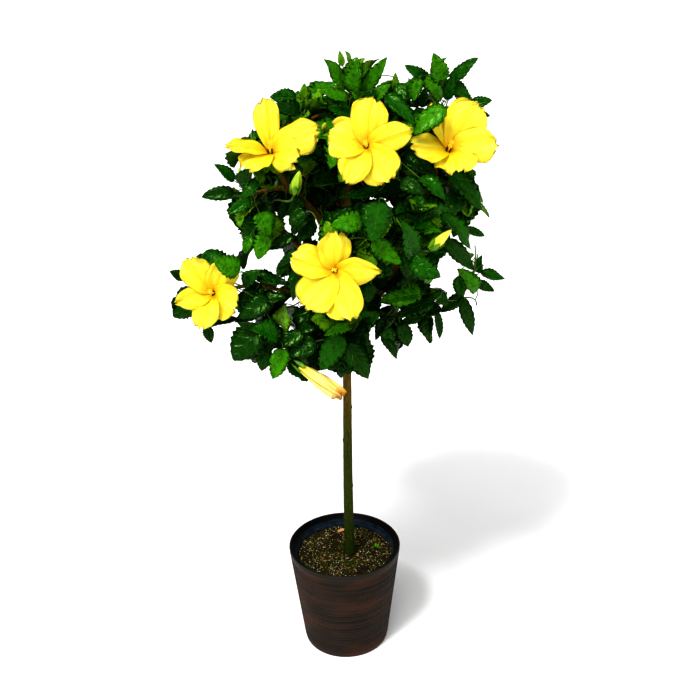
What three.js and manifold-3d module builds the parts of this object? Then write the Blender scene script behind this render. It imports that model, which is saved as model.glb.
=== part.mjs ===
// Hibiscus grown as a standard: a bare trunk with a round, open crown, in a grow pot that stands
// in a brown ribbed planter. Millimetres, +Z up, origin at the centre of the planter's underside.
// Each limb is one tapering solid and each mass of leaves one uneven closed solid.
import * as THREE from 'three';
import { mergeVertices } from 'three/addons/utils/BufferGeometryUtils.js';
import Module from 'manifold-3d';

const wasm = await Module();
wasm.setup();

// ---- Driving dimensions -------------------------------------------------------------------

const GAP = 0.3; // clearance between solids that touch

const PLANTER = {
  height: 228,
  rimRadius: 114.6,
  footRadius: 86.5,
  wall: 2.6,
  floor: 5,
  bandHeight: 12, // smooth band under the rim
  bandProud: 0.8, // how far the band stands out from the ribbed wall
  footRound: 3,
};

const GROW_POT = {
  lipWidth: 10, // flared lip, sloping inwards and down
  lipDrop: 7.5,
  collarDepth: 10, // upright collar under the lip
  ledge: 2.4, // step inwards below the collar
  wall: 1.8,
  sideGap: 1.2, // air between the grow pot and the planter
};

const MIX = { crown: 206, edge: 203, flatRadius: 30, edgeGap: 0.5 };

const TRUNK = {
  foot: [10.5, 0],
  fork: [14, 0, 738],
  footRadius: 10.6,
  forkRadius: 7.8,
  flare: 3.4, // extra radius at the cut
  flareHeight: 16,
  sides: 12,
  rings: 12,
};

const BOUGH = { taper: 0.62, sides: 6, rings: 6 }; // taper: tip radius as a share of the start

const POT_SIDES = 40;

// ---- From geometry to solid and back --------------------------------------------------------

// A closed three.js geometry becomes a Manifold, with its faces turned outwards.
function toSolid(geometry) {
  const bare = geometry.clone();
  bare.deleteAttribute('normal');
  bare.deleteAttribute('uv');
  const merged = mergeVertices(bare, 1e-4);
  const index = Array.from(merged.index.array);
  const corners = [];
  for (let i = 0; i < index.length; i += 3) {
    const [a, b, c] = index.slice(i, i + 3);
    if (a !== b && b !== c && a !== c) corners.push(a, b, c);
  }
  const build = (triangles) => new wasm.Manifold(new wasm.Mesh({
    numProp: 3,
    vertProperties: new Float32Array(merged.attributes.position.array),
    triVerts: new Uint32Array(triangles),
  }));
  const solid = build(corners);
  return solid.volume() > 0 ? solid : build(corners.reverse());
}

function toMesh(name, solid, material) {
  const { vertProperties, triVerts } = solid.getMesh();
  const geometry = new THREE.BufferGeometry();
  geometry.setAttribute('position', new THREE.BufferAttribute(new Float32Array(vertProperties), 3));
  geometry.setIndex(new THREE.BufferAttribute(new Uint32Array(triVerts), 1));
  geometry.computeVertexNormals();
  const mesh = new THREE.Mesh(geometry, material);
  mesh.name = name;
  return mesh;
}

// The largest piece that is left after other solids are cut away.
function cutBy(solid, cutters) {
  const rest = cutters.reduce((left, cutter) => left.subtract(cutter), solid);
  return rest.decompose().reduce((best, piece) => (piece.volume() > best.volume() ? piece : best));
}

// A round pot or filling: its half section, from the axis at the bottom to the axis at the top.
function turned(profile) {
  const points = profile.map(([radius, z]) => new THREE.Vector2(radius, z));
  return toSolid(new THREE.LatheGeometry(points, POT_SIDES).rotateX(Math.PI / 2));
}

// ---- Pot and potting mix --------------------------------------------------------------------

const bandFoot = PLANTER.height - PLANTER.bandHeight;
const wallTopRadius = PLANTER.rimRadius - 1.6;

// Outside radius of the planter's ribbed wall at a height.
function planterRadius(z) {
  return THREE.MathUtils.mapLinear(z, 0, bandFoot, PLANTER.footRadius, wallTopRadius);
}

function planter() {
  const { height, rimRadius, wall, floor, bandProud, footRound } = PLANTER;
  return turned([
    [0, 0],
    [PLANTER.footRadius - footRound, 0],
    [planterRadius(footRound), footRound],
    [wallTopRadius, bandFoot],
    [wallTopRadius + bandProud, bandFoot + 1],
    [rimRadius, height],
    [rimRadius - wall, height],
    [planterRadius(floor) - wall, floor],
    [0, floor],
  ]);
}

const lipOuterRadius = PLANTER.rimRadius - PLANTER.wall - 2 * GAP;
const lipTop = PLANTER.height - 0.5;
const collarRadius = lipOuterRadius - GROW_POT.lipWidth;
const collarTop = lipTop - GROW_POT.lipDrop;
const ledgeTop = collarTop - GROW_POT.collarDepth;
const potFloor = PLANTER.floor + GAP;

// Inside radius of the grow pot below its ledge.
function growPotRadius(z) {
  const foot = planterRadius(potFloor) - PLANTER.wall - GROW_POT.sideGap - GROW_POT.wall;
  return THREE.MathUtils.mapLinear(z, potFloor, ledgeTop, foot, collarRadius - GROW_POT.ledge);
}

function growPot() {
  const { wall } = GROW_POT;
  const innerFloor = potFloor + wall;
  return turned([
    [0, potFloor],
    [growPotRadius(potFloor) + wall, potFloor],
    [growPotRadius(ledgeTop) + wall, ledgeTop - wall],
    [collarRadius + wall, ledgeTop - wall],
    [collarRadius + wall, collarTop - wall],
    [lipOuterRadius, lipTop - wall],
    [lipOuterRadius, lipTop],
    [collarRadius, collarTop],
    [collarRadius - 0.4, ledgeTop],
    [growPotRadius(ledgeTop), ledgeTop],
    [growPotRadius(innerFloor), innerFloor],
    [0, innerFloor],
  ]);
}

function pottingMix() {
  const { crown, edge, flatRadius, edgeGap } = MIX;
  const bottom = potFloor + GROW_POT.wall + GAP;
  return turned([
    [0, bottom],
    [growPotRadius(bottom) - edgeGap, bottom],
    [growPotRadius(edge) - edgeGap, edge],
    [flatRadius, crown],
    [0, crown],
  ]);
}

// ---- Trunk and boughs -----------------------------------------------------------------------

// A tapering round limb along a smooth curve. A level limb keeps every section horizontal.
function limb(points, radiusAt, { sides, rings, level = false }) {
  const curve = new THREE.CatmullRomCurve3(points.map((p) => new THREE.Vector3(...p)));
  const frames = curve.computeFrenetFrames(rings);
  const geometry = new THREE.CylinderGeometry(1, 1, 1, sides, rings);
  const position = geometry.attributes.position;
  for (let i = 0; i < position.count; i++) {
    const along = position.getY(i) + 0.5;
    const ring = Math.round(along * rings);
    const across = level ? new THREE.Vector3(1, 0, 0) : frames.normals[ring];
    const other = level ? new THREE.Vector3(0, 1, 0) : frames.binormals[ring];
    const radius = radiusAt(along);
    const spot = curve.getPoint(along)
      .addScaledVector(across, position.getX(i) * radius)
      .addScaledVector(other, position.getZ(i) * radius);
    position.setXYZ(i, spot.x, spot.y, spot.z);
  }
  return toSolid(geometry);
}

const trunkFootZ = MIX.crown + GAP;
const trunkHeight = TRUNK.fork[2] - trunkFootZ;

// The trunk bows a little between its foot and the fork. `grow` widens and lengthens it.
function trunk(grow = 0) {
  const [footX, footY] = TRUNK.foot;
  const [forkX, forkY, forkZ] = TRUNK.fork;
  const points = [
    [footX, footY, trunkFootZ - grow],
    [footX - 0.5, 1, trunkFootZ + trunkHeight * 0.3],
    [footX + 2.2, -1, trunkFootZ + trunkHeight * 0.7],
    [forkX, forkY, forkZ + grow],
  ];
  const radiusAt = (along) => {
    const taper = THREE.MathUtils.lerp(TRUNK.footRadius, TRUNK.forkRadius, along);
    const flare = TRUNK.flare * Math.exp(-along * trunkHeight / TRUNK.flareHeight);
    return taper + flare + grow;
  };
  return limb(points, radiusAt, { ...TRUNK, level: true });
}

// Each bough leaves the fork and ends where it enters the mass that it makes for.
const BOUGHS = {
  bough_right: { radius: 7.2, route: [[70, -4, 780], [108, -8, 850], [152, -4, 968], [220, 5, 1050]] },
  bough_middle: { radius: 6.8, route: [[15, -4, 850], [18, -8, 960], [45, -60, 1092]] },
  bough_left: { radius: 5.6, route: [[0, -10, 850], [-24, -15, 944], [-80, -25, 1005], [-120, -50, 1075]] },
  bough_left_arm: { radius: 5, route: [[-45, -35, 795], [-120, -65, 835], [-205, -75, 855]] },
  bough_back: { radius: 5, route: [[12, 45, 820], [10, 100, 900], [0, 190, 965]] },
  bough_back_low: { radius: 3.6, route: [[10, 45, 768], [5, 130, 812]] },
  bough_back_left: { radius: 4.8, route: [[-30, 40, 800], [-80, 75, 870], [-155, 110, 925]] },
  bough_back_right: { radius: 4.8, route: [[55, 45, 805], [105, 85, 880], [158, 135, 950]] },
  bough_front: { radius: 4.2, route: [[18, -45, 800], [12, -90, 870], [10, -165, 935]] },
  bough_low_right: { radius: 3.8, route: [[55, -25, 762], [108, -70, 788]] },
  bough_low_left: { radius: 4, route: [[-30, -50, 752], [-105, -120, 768]] },
};

function bough({ radius, route }, grow = 0) {
  const radiusAt = (along) => radius * THREE.MathUtils.lerp(1, BOUGH.taper, along) + grow;
  return limb([TRUNK.fork, ...route], radiusAt, BOUGH);
}

// ---- Masses of leaves -----------------------------------------------------------------------

// Centre, half sizes, and the points of the outermost sprays that stand out of the mass.
const MASSES = {
  leaves_top_middle: {
    at: [40, 10, 1174],
    half: [50, 48, 42],
    tips: [[14, 8, 1250], [92, 6, 1232]],
  },
  leaves_top_right: {
    at: [182, 10, 1158],
    half: [60, 50, 42],
    tips: [[168, 8, 1236], [122, 5, 1192], [244, 10, 1224]],
  },
  leaves_right_crest: {
    at: [248, 25, 1120],
    half: [36, 44, 44],
    tips: [[276, 20, 1166]],
  },
  leaves_top_left: {
    at: [-55, 10, 1134],
    half: [60, 54, 40],
    tips: [[-102, 5, 1172], [-44, 8, 1184]],
  },
  leaves_upper_left: {
    at: [-120, -55, 1080],
    half: [66, 62, 50],
    tips: [[-185, -70, 1105]],
  },
  leaves_upper_middle: {
    at: [45, -65, 1098],
    half: [84, 70, 62],
    tips: [],
  },
  leaves_upper_right: {
    at: [190, -45, 1080],
    half: [72, 66, 60],
    tips: [[262, -70, 1110]],
  },
  leaves_left_shoulder: {
    at: [-135, -40, 985],
    half: [78, 76, 62],
    tips: [[-238, -20, 1003], [-186, -40, 906], [-205, -30, 1040]],
  },
  leaves_right_shoulder: {
    at: [220, 5, 985],
    half: [60, 76, 62],
    tips: [[276, 0, 1020], [268, -10, 925]],
  },
  leaves_front: {
    at: [10, -165, 940],
    half: [88, 66, 72],
    tips: [[-25, -240, 960]],
  },
  leaves_front_right: {
    at: [135, -130, 955],
    half: [76, 70, 74],
    tips: [[165, -205, 930]],
  },
  leaves_right_spray: {
    at: [258, -5, 866],
    half: [38, 46, 52],
    tips: [[304, 0, 848], [290, -10, 872], [258, -15, 722]],
  },
  leaves_low_right: {
    at: [196, -35, 795],
    half: [58, 54, 40],
    tips: [[206, -40, 742]],
  },
  leaves_left_arm: {
    at: [-205, -75, 855],
    half: [76, 70, 58],
    tips: [[-308, -65, 800], [-290, -80, 884], [-250, -90, 775]],
  },
  leaves_low_left: {
    at: [-105, -120, 768],
    half: [84, 66, 56],
    tips: [[-128, -125, 698], [-165, -140, 725]],
  },
  leaves_low_front: {
    at: [22, -105, 762],
    half: [68, 62, 60],
    tips: [[46, -95, 682], [2, -120, 690]],
  },
  leaves_low_middle: {
    at: [108, -70, 788],
    half: [52, 56, 54],
    tips: [[112, -60, 700]],
  },
  leaves_back_crest: {
    at: [72, 102, 1092],
    half: [94, 78, 60],
    tips: [[110, 150, 1140]],
  },
  leaves_back_upper_left: {
    at: [-82, 100, 1055],
    half: [84, 76, 62],
    tips: [[-150, 150, 1070]],
  },
  leaves_back_left: {
    at: [-155, 110, 925],
    half: [84, 84, 66],
    tips: [[-238, 130, 915], [-180, 200, 945]],
  },
  leaves_back_middle: {
    at: [0, 190, 965],
    half: [88, 72, 84],
    tips: [[-20, 268, 975], [45, 255, 1030]],
  },
  leaves_back_right: {
    at: [158, 135, 950],
    half: [84, 84, 76],
    tips: [[230, 190, 960], [150, 225, 985]],
  },
  leaves_back_low: {
    at: [5, 130, 812],
    half: [62, 62, 48],
    tips: [[-10, 175, 765]],
  },
};

const LUMP_DEPTH = 0.13; // how uneven a mass is, as a share of its size
const TIP_SPREAD = 0.55; // radians from a tip's direction to where it melts into the mass
const LARGE_MASS = 62; // a mass at least this thick gets the finer facets

// A smooth lumpy field on the unit sphere, different for each phase.
function lumps({ x, y, z }, phase) {
  const broad = Math.sin(2.3 * x + phase) * Math.cos(2.1 * y - 1.7 * phase) + Math.sin(2.6 * z + 2 * phase);
  const fine = Math.sin(5.1 * y + 3 * phase) * Math.sin(4.7 * z + phase) + Math.cos(5.3 * x - phase);
  return 0.6 * broad + 0.4 * fine;
}

// `grow` is added all round, for the room that a neighbour leaves.
function leafMass({ at, half, tips }, phase, grow = 0) {
  const centre = new THREE.Vector3(...at);
  const size = new THREE.Vector3(...half);
  const detail = Math.min(...half) < LARGE_MASS ? 2 : 3;
  const position = new THREE.IcosahedronGeometry(1, detail).attributes.position;
  const ways = Array.from({ length: position.count },
    (_, i) => new THREE.Vector3().fromBufferAttribute(position, i).normalize());
  const reaches = tips.map((tip) => {
    const reach = new THREE.Vector3(...tip).sub(centre);
    return { reach, closest: Math.min(...ways.map((way) => way.angleTo(reach))) };
  });
  ways.forEach((way, i) => {
    const spot = way.clone().multiply(size).multiplyScalar(1 + LUMP_DEPTH * lumps(way, phase));
    for (const { reach, closest } of reaches) {
      const near = 1 - (way.angleTo(reach) - closest) / TIP_SPREAD;
      if (near > 0) spot.lerp(reach, near ** 1.6);
    }
    const out = spot.clone().normalize();
    spot.addScaledVector(out, grow).add(centre);
    position.setXYZ(i, spot.x, spot.y, spot.z);
  });
  const geometry = new THREE.BufferGeometry().setAttribute('position', position);
  return toSolid(geometry);
}

// ---- Materials --------------------------------------------------------------------------------

const finish = (color, roughness) => new THREE.MeshStandardMaterial({ color, roughness, metalness: 0 });
const ribbedPlastic = finish('#3a2d20', 0.5);
const blackPlastic = finish('#14181a', 0.55);
const bark = finish('#5a4f1c', 0.8);
const mixGround = finish('#3b3520', 0.95);
const foliage = finish('#1c4a10', 0.5);

// ---- The plant put together -------------------------------------------------------------------

const group = new THREE.Group();

group.add(toMesh('planter', planter(), ribbedPlastic));
group.add(toMesh('grow_pot', growPot(), blackPlastic));
group.add(toMesh('potting_mix', pottingMix(), mixGround));
group.add(toMesh('trunk', trunk(), bark));

// Each mass gives way to the ones before it, and the boughs stop at the masses' surfaces.
const taken = [];
Object.entries(MASSES).forEach(([name, shape], order) => {
  const phase = 1.9 * (order + 1);
  group.add(toMesh(name, cutBy(leafMass(shape, phase), taken), foliage));
  taken.push(leafMass(shape, phase, 2 * GAP));
});

taken.push(trunk(GAP));
for (const [name, shape] of Object.entries(BOUGHS)) {
  group.add(toMesh(name, cutBy(bough(shape), taken), bark));
  taken.push(bough(shape, GAP));
}

export default group;
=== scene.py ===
# A potted hibiscus standard: ribbed planter, bare trunk, open crown of leaves and yellow blooms.
# Metres, +Z up. The frame gives the places; the sections follow the object from the pot upwards.
import math

import bmesh
import bpy
import numpy as np
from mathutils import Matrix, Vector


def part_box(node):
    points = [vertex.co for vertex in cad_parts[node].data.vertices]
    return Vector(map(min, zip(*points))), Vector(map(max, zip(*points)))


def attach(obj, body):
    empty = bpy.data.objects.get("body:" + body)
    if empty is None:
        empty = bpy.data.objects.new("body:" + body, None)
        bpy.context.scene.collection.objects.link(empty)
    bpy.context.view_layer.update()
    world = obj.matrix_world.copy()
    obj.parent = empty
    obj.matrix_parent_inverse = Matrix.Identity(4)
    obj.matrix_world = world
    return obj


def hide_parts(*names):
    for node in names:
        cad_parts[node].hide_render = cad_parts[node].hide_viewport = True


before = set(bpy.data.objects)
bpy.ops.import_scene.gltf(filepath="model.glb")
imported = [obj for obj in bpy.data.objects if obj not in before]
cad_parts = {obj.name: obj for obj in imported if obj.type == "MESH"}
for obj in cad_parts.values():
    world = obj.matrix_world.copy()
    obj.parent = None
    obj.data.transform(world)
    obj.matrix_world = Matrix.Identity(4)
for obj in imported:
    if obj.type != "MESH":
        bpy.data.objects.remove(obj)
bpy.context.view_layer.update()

# ---- Planter ------------------------------------------------------------------------------------
# A tapered outer pot of brown polypropylene, injection moulded, with fine level ribs all round
# and a smooth band under the rim. It stands on a narrow foot ring.

MM = 0.001
FOOT_ROUND = 3 * MM
FOOT_RECESS = 1.5 * MM
FOOT_RING = 9 * MM
PLANTER_FLOOR = 5 * MM
PLANTER_WALL = 2.6 * MM
BAND_HEIGHT = 12 * MM
BAND_STEP = 1 * MM
RIB_PITCH = 4.3 * MM
RIB_RADIUS = 0.95 * MM
RIB_SINK = 0.35 * MM  # how deep the middle of a rib lies under the wall's surface
TURNED_SIDES = 144
SAME_HEIGHT = 0.2 * MM  # corners this close in height count as level
LONGEST_ROUND = 0.45  # the most of a side that the rounding of a corner takes up


def corners(name):
    """A CAD node's corners in the row frame, as rows of x, y, z."""
    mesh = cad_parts[name].data
    flat = np.empty(3 * len(mesh.vertices))
    mesh.vertices.foreach_get("co", flat)
    return flat.reshape(-1, 3)


def radius_at(name, height):
    """The largest distance from the pot's axis among a node's corners at that height."""
    points = corners(name)
    level = points[np.abs(points[:, 2] - height) < SAME_HEIGHT]
    return float(np.hypot(level[:, 0], level[:, 1]).max())


def rounded(outline, steps=4):
    """A half section with its corners rounded: each point is radius, height, size of rounding."""
    path = []
    for i, (r, z, size) in enumerate(outline):
        here = np.array((r, z))
        if not size:
            path.append(here)
            continue
        ends = []
        for other in (outline[i - 1], outline[i + 1]):
            way = np.array(other[:2]) - here
            reach = np.linalg.norm(way)
            ends.append(here + way * min(size, LONGEST_ROUND * reach) / reach)
        for t in np.linspace(0, 1, steps + 1):
            path.append((1 - t) ** 2 * ends[0] + 2 * t * (1 - t) * here + t ** 2 * ends[1])
    return path


def linked(name, mesh):
    """A new object at the origin that shows this mesh or curve."""
    made = bpy.data.objects.new(name, mesh)
    bpy.context.scene.collection.objects.link(made)
    return made


def mesh_of(name, points, faces, *paints):
    """A smooth mesh from its points and faces, with its materials."""
    mesh = bpy.data.meshes.new(name)
    mesh.from_pydata([tuple(p) for p in points], [], faces)
    for paint in paints:
        mesh.materials.append(paint)
    smooth(mesh)
    return mesh


def smooth(mesh):
    mesh.polygons.foreach_set("use_smooth", [True] * len(mesh.polygons))


def ring_faces(base, rows, sides):
    """The faces of a closed skin from point number `base` on: one point, rings, one point."""
    last = base + 1 + rows * sides
    faces = []
    for j in range(sides):
        k = (j + 1) % sides
        faces.append((base, base + 1 + k, base + 1 + j))
        faces.append((last, last - sides + j, last - sides + k))
        for i in range(rows - 1):
            low = base + 1 + i * sides
            faces.append((low + j, low + k, low + sides + k, low + sides + j))
    return faces


def turned(name, profile, *paints):
    """A closed round piece from its half section, which starts and ends on the axis."""
    turn = np.linspace(0, 2 * math.pi, TURNED_SIDES, endpoint=False)
    points = [(0, 0, profile[0][1])]
    for r, z in profile[1:-1]:
        points += [(r * math.cos(a), r * math.sin(a), z) for a in turn]
    points.append((0, 0, profile[-1][1]))
    return mesh_of(name, points, ring_faces(0, len(profile) - 2, TURNED_SIDES), *paints)


def linear(code):
    """An sRGB hex colour as linear RGBA."""
    parts = [int(code[i:i + 2], 16) / 255 for i in (1, 3, 5)]
    return [c / 12.92 if c <= 0.04045 else ((c + 0.055) / 1.055) ** 2.4 for c in parts] + [1.0]


def node(tree, kind, inputs=None, **settings):
    """Adds a node. `inputs` gives a socket, by name or number, its value or the output it follows."""
    made = tree.nodes.new(kind)
    for name, value in settings.items():
        setattr(made, name, value)
    for key, value in (inputs or {}).items():
        if isinstance(value, bpy.types.NodeSocket):
            tree.links.new(value, made.inputs[key])
        else:
            made.inputs[key].default_value = value
    return made


def material(name, roughness, **constants):
    """A material with its shader; constants are set on the shader's own sockets."""
    made = bpy.data.materials.new(name)
    made.use_nodes = True
    shader = made.node_tree.nodes["Principled BSDF"]
    shader.inputs["Roughness"].default_value = roughness
    for label, value in constants.items():
        shader.inputs[label.replace("_", " ")].default_value = value
    return made, made.node_tree, shader


def calc(tree, operation, *values):
    """A sum on numbers, each a plain value or another node's output."""
    return node(tree, "ShaderNodeMath", dict(enumerate(values)), operation=operation).outputs[0]


def parted(tree, vector):
    """A vector's three numbers, by name."""
    return node(tree, "ShaderNodeSeparateXYZ", {"Vector": vector}).outputs


def upright(tree, height):
    """A vector straight up."""
    return node(tree, "ShaderNodeCombineXYZ", {"Z": height}).outputs["Vector"]


def scaled(tree, vector, size):
    """A vector made this many times as long."""
    return node(tree, "ShaderNodeVectorMath", {0: vector, "Scale": size},
                operation="SCALE").outputs["Vector"]


def moved(tree, geometry, offset, **inputs):
    """Geometry with its points, or those that Selection picks, moved by an offset."""
    return node(tree, "GeometryNodeSetPosition", {
        "Geometry": geometry, "Offset": offset, **inputs}).outputs["Geometry"]


def object_place(tree):
    """Where a shaded point is on the part, which stands at the origin."""
    return node(tree, "ShaderNodeTexCoord").outputs["Object"]


def speckle(tree, stretch, scale, detail=3.0, roughness=0.5, place=None):
    """Noise on the part, or on another place given, stretched along each axis."""
    mapped = node(tree, "ShaderNodeMapping", {
        "Vector": object_place(tree) if place is None else place, "Scale": stretch})
    return node(tree, "ShaderNodeTexNoise", {
        "Vector": mapped.outputs["Vector"], "Scale": scale,
        "Detail": detail, "Roughness": roughness,
    }).outputs["Fac"]


def ramp(tree, value, low, high, start=0.0, end=1.0):
    """Maps a value from low..high to start..end, and holds it there."""
    return node(tree, "ShaderNodeMapRange", {
        "Value": value, "From Min": low, "From Max": high, "To Min": start, "To Max": end,
    }).outputs["Result"]


def blended(tree, factor, first, second):
    """Mixes two colours, each an sRGB hex or another node's output."""
    first, second = (linear(c) if isinstance(c, str) else c for c in (first, second))
    return node(tree, "ShaderNodeMix", {0: factor, 6: first, 7: second},
                data_type="RGBA").outputs[2]


def coloured(tree, shader, colour):
    tree.links.new(colour, shader.inputs["Base Color"])


def bumped(tree, shader, height, distance, strength=1.0):
    bump = node(tree, "ShaderNodeBump", {
        "Height": height, "Distance": distance, "Strength": strength})
    tree.links.new(bump.outputs["Normal"], shader.inputs["Normal"])


def blotched(name, dark, light, roughness, scale, detail=2.0, share=1.0, **constants):
    """A plain material, blotched between two tones by noise."""
    made, tree, shader = material(name, roughness, **constants)
    blotch = speckle(tree, (1, 1, 1), scale, detail)
    coloured(tree, shader, blended(tree, ramp(tree, blotch, 0.35, 0.65, 0, share), dark, light))
    return made


def height_above(tree, z, blend):
    """1 where Object Z is above z, 0 below it, over a short blend."""
    return ramp(tree, parted(tree, object_place(tree))["Z"], z - blend / 2, z + blend / 2)


def ribbed_polypropylene(band_foot):
    """Moulded polypropylene, streaked along its ribs by the pigment and slightly burnished on
    their crests. The streaks are long level ones, 2 to 3 mm high."""
    made, tree, shader = material("streaked_brown_polypropylene", 0.5, Specular_IOR_Level=0.2)
    fine = speckle(tree, (3, 3, 420), 1.0, 3.0, 0.55)
    broad = speckle(tree, (9, 9, 24), 1.0, 3.0)
    streaks = blended(tree, ramp(tree, fine, 0.36, 0.66), "#140f09", "#2f2216")
    patches = blended(tree, ramp(tree, broad, 0.46, 0.68, 0, 0.7), streaks, "#472a18")
    band = blended(tree, height_above(tree, band_foot, 1 * MM), patches, "#262019")
    coloured(tree, shader, band)
    tree.links.new(ramp(tree, fine, 0.3, 0.7, 0.62, 0.45), shader.inputs["Roughness"])
    bumped(tree, shader, fine, 0.25 * MM, 0.5)
    return made


def node_group(name, **inputs):
    """A Geometry Nodes tree with named inputs; gives the tree, these inputs and its end node."""
    kinds = {float: "NodeSocketFloat", int: "NodeSocketInt", type(None): "NodeSocketMaterial"}
    tree = bpy.data.node_groups.new(name, "GeometryNodeTree")
    tree.interface.new_socket("Geometry", in_out="INPUT", socket_type="NodeSocketGeometry")
    for label, default in inputs.items():
        socket = tree.interface.new_socket(label, in_out="INPUT", socket_type=kinds[type(default)])
        if default is not None:
            socket.default_value = default
    tree.interface.new_socket("Geometry", in_out="OUTPUT", socket_type="NodeSocketGeometry")
    return tree, node(tree, "NodeGroupInput").outputs, node(tree, "NodeGroupOutput")


def finished(tree, given, end, geometry):
    """Ends a Geometry Nodes tree: instances made real, material set."""
    real = node(tree, "GeometryNodeRealizeInstances", {"Geometry": geometry})
    painted = node(tree, "GeometryNodeSetMaterial", {
        "Geometry": real.outputs["Geometry"], "Material": given["Material"]})
    tree.links.new(painted.outputs["Geometry"], end.inputs["Geometry"])
    return tree


def grown_mesh(name, base, tree, **values):
    """Runs a Geometry Nodes tree on a mesh, curve or object, and gives the outcome as a mesh."""
    holder = base if isinstance(base, bpy.types.Object) else linked("holder", base)
    modifier = holder.modifiers.new(name, "NODES")
    modifier.node_group = tree
    for item in tree.interface.items_tree:
        if item.in_out == "INPUT" and item.name in values:
            modifier[item.identifier] = values[item.name]
    graph = bpy.context.evaluated_depsgraph_get()
    mesh = bpy.data.meshes.new_from_object(holder.evaluated_get(graph), depsgraph=graph)
    mesh.name = name
    holder.modifiers.clear()
    bpy.data.objects.remove(holder)
    return mesh


def ribs_tree():
    """Level rings up a tapered wall: each is a round bead on a circle of the wall's radius."""
    tree, given, end = node_group(
        "planter_ribs", Ribs=10, Pitch=0.004, Foot_Height=0.0, Foot_Radius=0.1,
        Growth=0.1, Bead_Radius=0.001, Material=None)
    foot_height = given["Foot_Height"]
    column = node(tree, "GeometryNodeMeshLine", {
        "Count": given["Ribs"], "Start Location": upright(tree, foot_height),
        "Offset": upright(tree, given["Pitch"]),
    })
    place = node(tree, "GeometryNodeInputPosition")
    above = calc(tree, "SUBTRACT", parted(tree, place.outputs["Position"])["Z"], foot_height)
    reach = calc(tree, "MULTIPLY_ADD", above, given["Growth"], given["Foot_Radius"])
    size = node(tree, "ShaderNodeCombineXYZ", {"X": reach, "Y": reach, "Z": 1.0})
    circle = node(tree, "GeometryNodeCurvePrimitiveCircle", {"Resolution": TURNED_SIDES, "Radius": 1.0})
    rings = node(tree, "GeometryNodeInstanceOnPoints", {
        "Points": column.outputs["Mesh"], "Instance": circle.outputs["Curve"],
        "Scale": size.outputs["Vector"],
    })
    curves = node(tree, "GeometryNodeRealizeInstances", {"Geometry": rings.outputs["Instances"]})
    bead = node(tree, "GeometryNodeCurvePrimitiveCircle", {
        "Resolution": 6, "Radius": given["Bead_Radius"]})
    beads = node(tree, "GeometryNodeCurveToMesh", {
        "Curve": curves.outputs["Geometry"], "Profile Curve": bead.outputs["Curve"]})
    return finished(tree, given, end, beads.outputs["Mesh"])


def on_root(name, mesh, slot, *replaced):
    """A piece that shows this mesh: it moves with the plant's one body, and stands for the CAD
    nodes it replaces, which it hides. The slot it is given is not used."""
    piece = linked(name, mesh)
    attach(piece, "root")
    if replaced:
        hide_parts(*replaced)


rim_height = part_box("planter")[1].z
rim_radius = radius_at("planter", rim_height)
foot_radius = radius_at("planter", FOOT_ROUND)
band_foot = rim_height - BAND_HEIGHT
band_radius = radius_at("planter", band_foot)
band_out = radius_at("planter", band_foot + BAND_STEP)
planter_paint = ribbed_polypropylene(band_foot)

planter_mesh = turned("planter_shell", rounded([
    (0, FOOT_RECESS, 0),
    (foot_radius - FOOT_ROUND - FOOT_RING, FOOT_RECESS, 1 * MM),
    (foot_radius - FOOT_RING, 0, 1 * MM),
    (foot_radius - 0.6 * FOOT_ROUND, 0, 1.6 * MM),
    (foot_radius, FOOT_ROUND, 1.6 * MM),
    (band_radius, band_foot, 0.4 * MM),
    (band_out, band_foot + BAND_STEP, 0.6 * MM),
    (rim_radius, rim_height, 1.2 * MM),
    (rim_radius - PLANTER_WALL, rim_height, 1.0 * MM),
    (radius_at("planter", PLANTER_FLOOR) - PLANTER_WALL, PLANTER_FLOOR, 3 * MM),
    (0, PLANTER_FLOOR, 0),
]), planter_paint)
on_root("planter_shell", planter_mesh, "planter", "planter")

rib_start = FOOT_ROUND + 2 * RIB_PITCH
growth = (band_radius - foot_radius) / (band_foot - FOOT_ROUND)
ribs = grown_mesh(
    "planter_ribs", bpy.data.meshes.new("empty"), ribs_tree(),
    Ribs=int((band_foot - rib_start) / RIB_PITCH), Pitch=RIB_PITCH, Foot_Height=rib_start,
    Foot_Radius=foot_radius + growth * (rib_start - FOOT_ROUND) - RIB_SINK,
    Growth=growth, Bead_Radius=RIB_RADIUS, Material=planter_paint)
smooth(ribs)
on_root("planter_ribs", ribs, "planter")

# ---- Grow pot -----------------------------------------------------------------------------------
# The nursery's own pot, thin black polypropylene blown or moulded, with a flared lip that slopes
# inwards and a short collar under it. Below the lip its wall is a blotchy bluish grey: painted sheen.

LIP_WIDTH = 10 * MM
LIP_DROP = 7.5 * MM
COLLAR_DEPTH = 10 * MM
LEDGE = 2.4 * MM
POT_WALL = 1.8 * MM


def black_polypropylene(lip_foot):
    """Thin moulded polypropylene, black and satin on the lip. Below the lip it is painted a blotchy
    bluish grey, a painted sheen that stands in for reflected light."""
    made, tree, shader = material("black_polypropylene", 0.5, Specular_IOR_Level=0.12)
    sheen_noise = speckle(tree, (60, 60, 90), 1.0, 5.0, 0.6)
    # painted sheen: the blotchy bluish grey below the lip stands in for reflected light
    painted_sheen = blended(tree, ramp(tree, sheen_noise, 0.35, 0.7), "#18222a", "#303e4a")
    inside = height_above(tree, lip_foot, 1.5 * MM)
    coloured(tree, shader, blended(tree, inside, painted_sheen, "#020202"))
    tree.links.new(ramp(tree, sheen_noise, 0.3, 0.7, 0.44, 0.62), shader.inputs["Roughness"])
    bumped(tree, shader, sheen_noise, 0.1 * MM, 0.4)
    return made


pot_low, pot_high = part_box("grow_pot")
lip_out = radius_at("grow_pot", pot_high.z)
collar_in = lip_out - LIP_WIDTH
lip_foot = pot_high.z - LIP_DROP
ledge_top = lip_foot - COLLAR_DEPTH
floor_out = radius_at("grow_pot", pot_low.z)
floor_top = pot_low.z + POT_WALL

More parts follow.
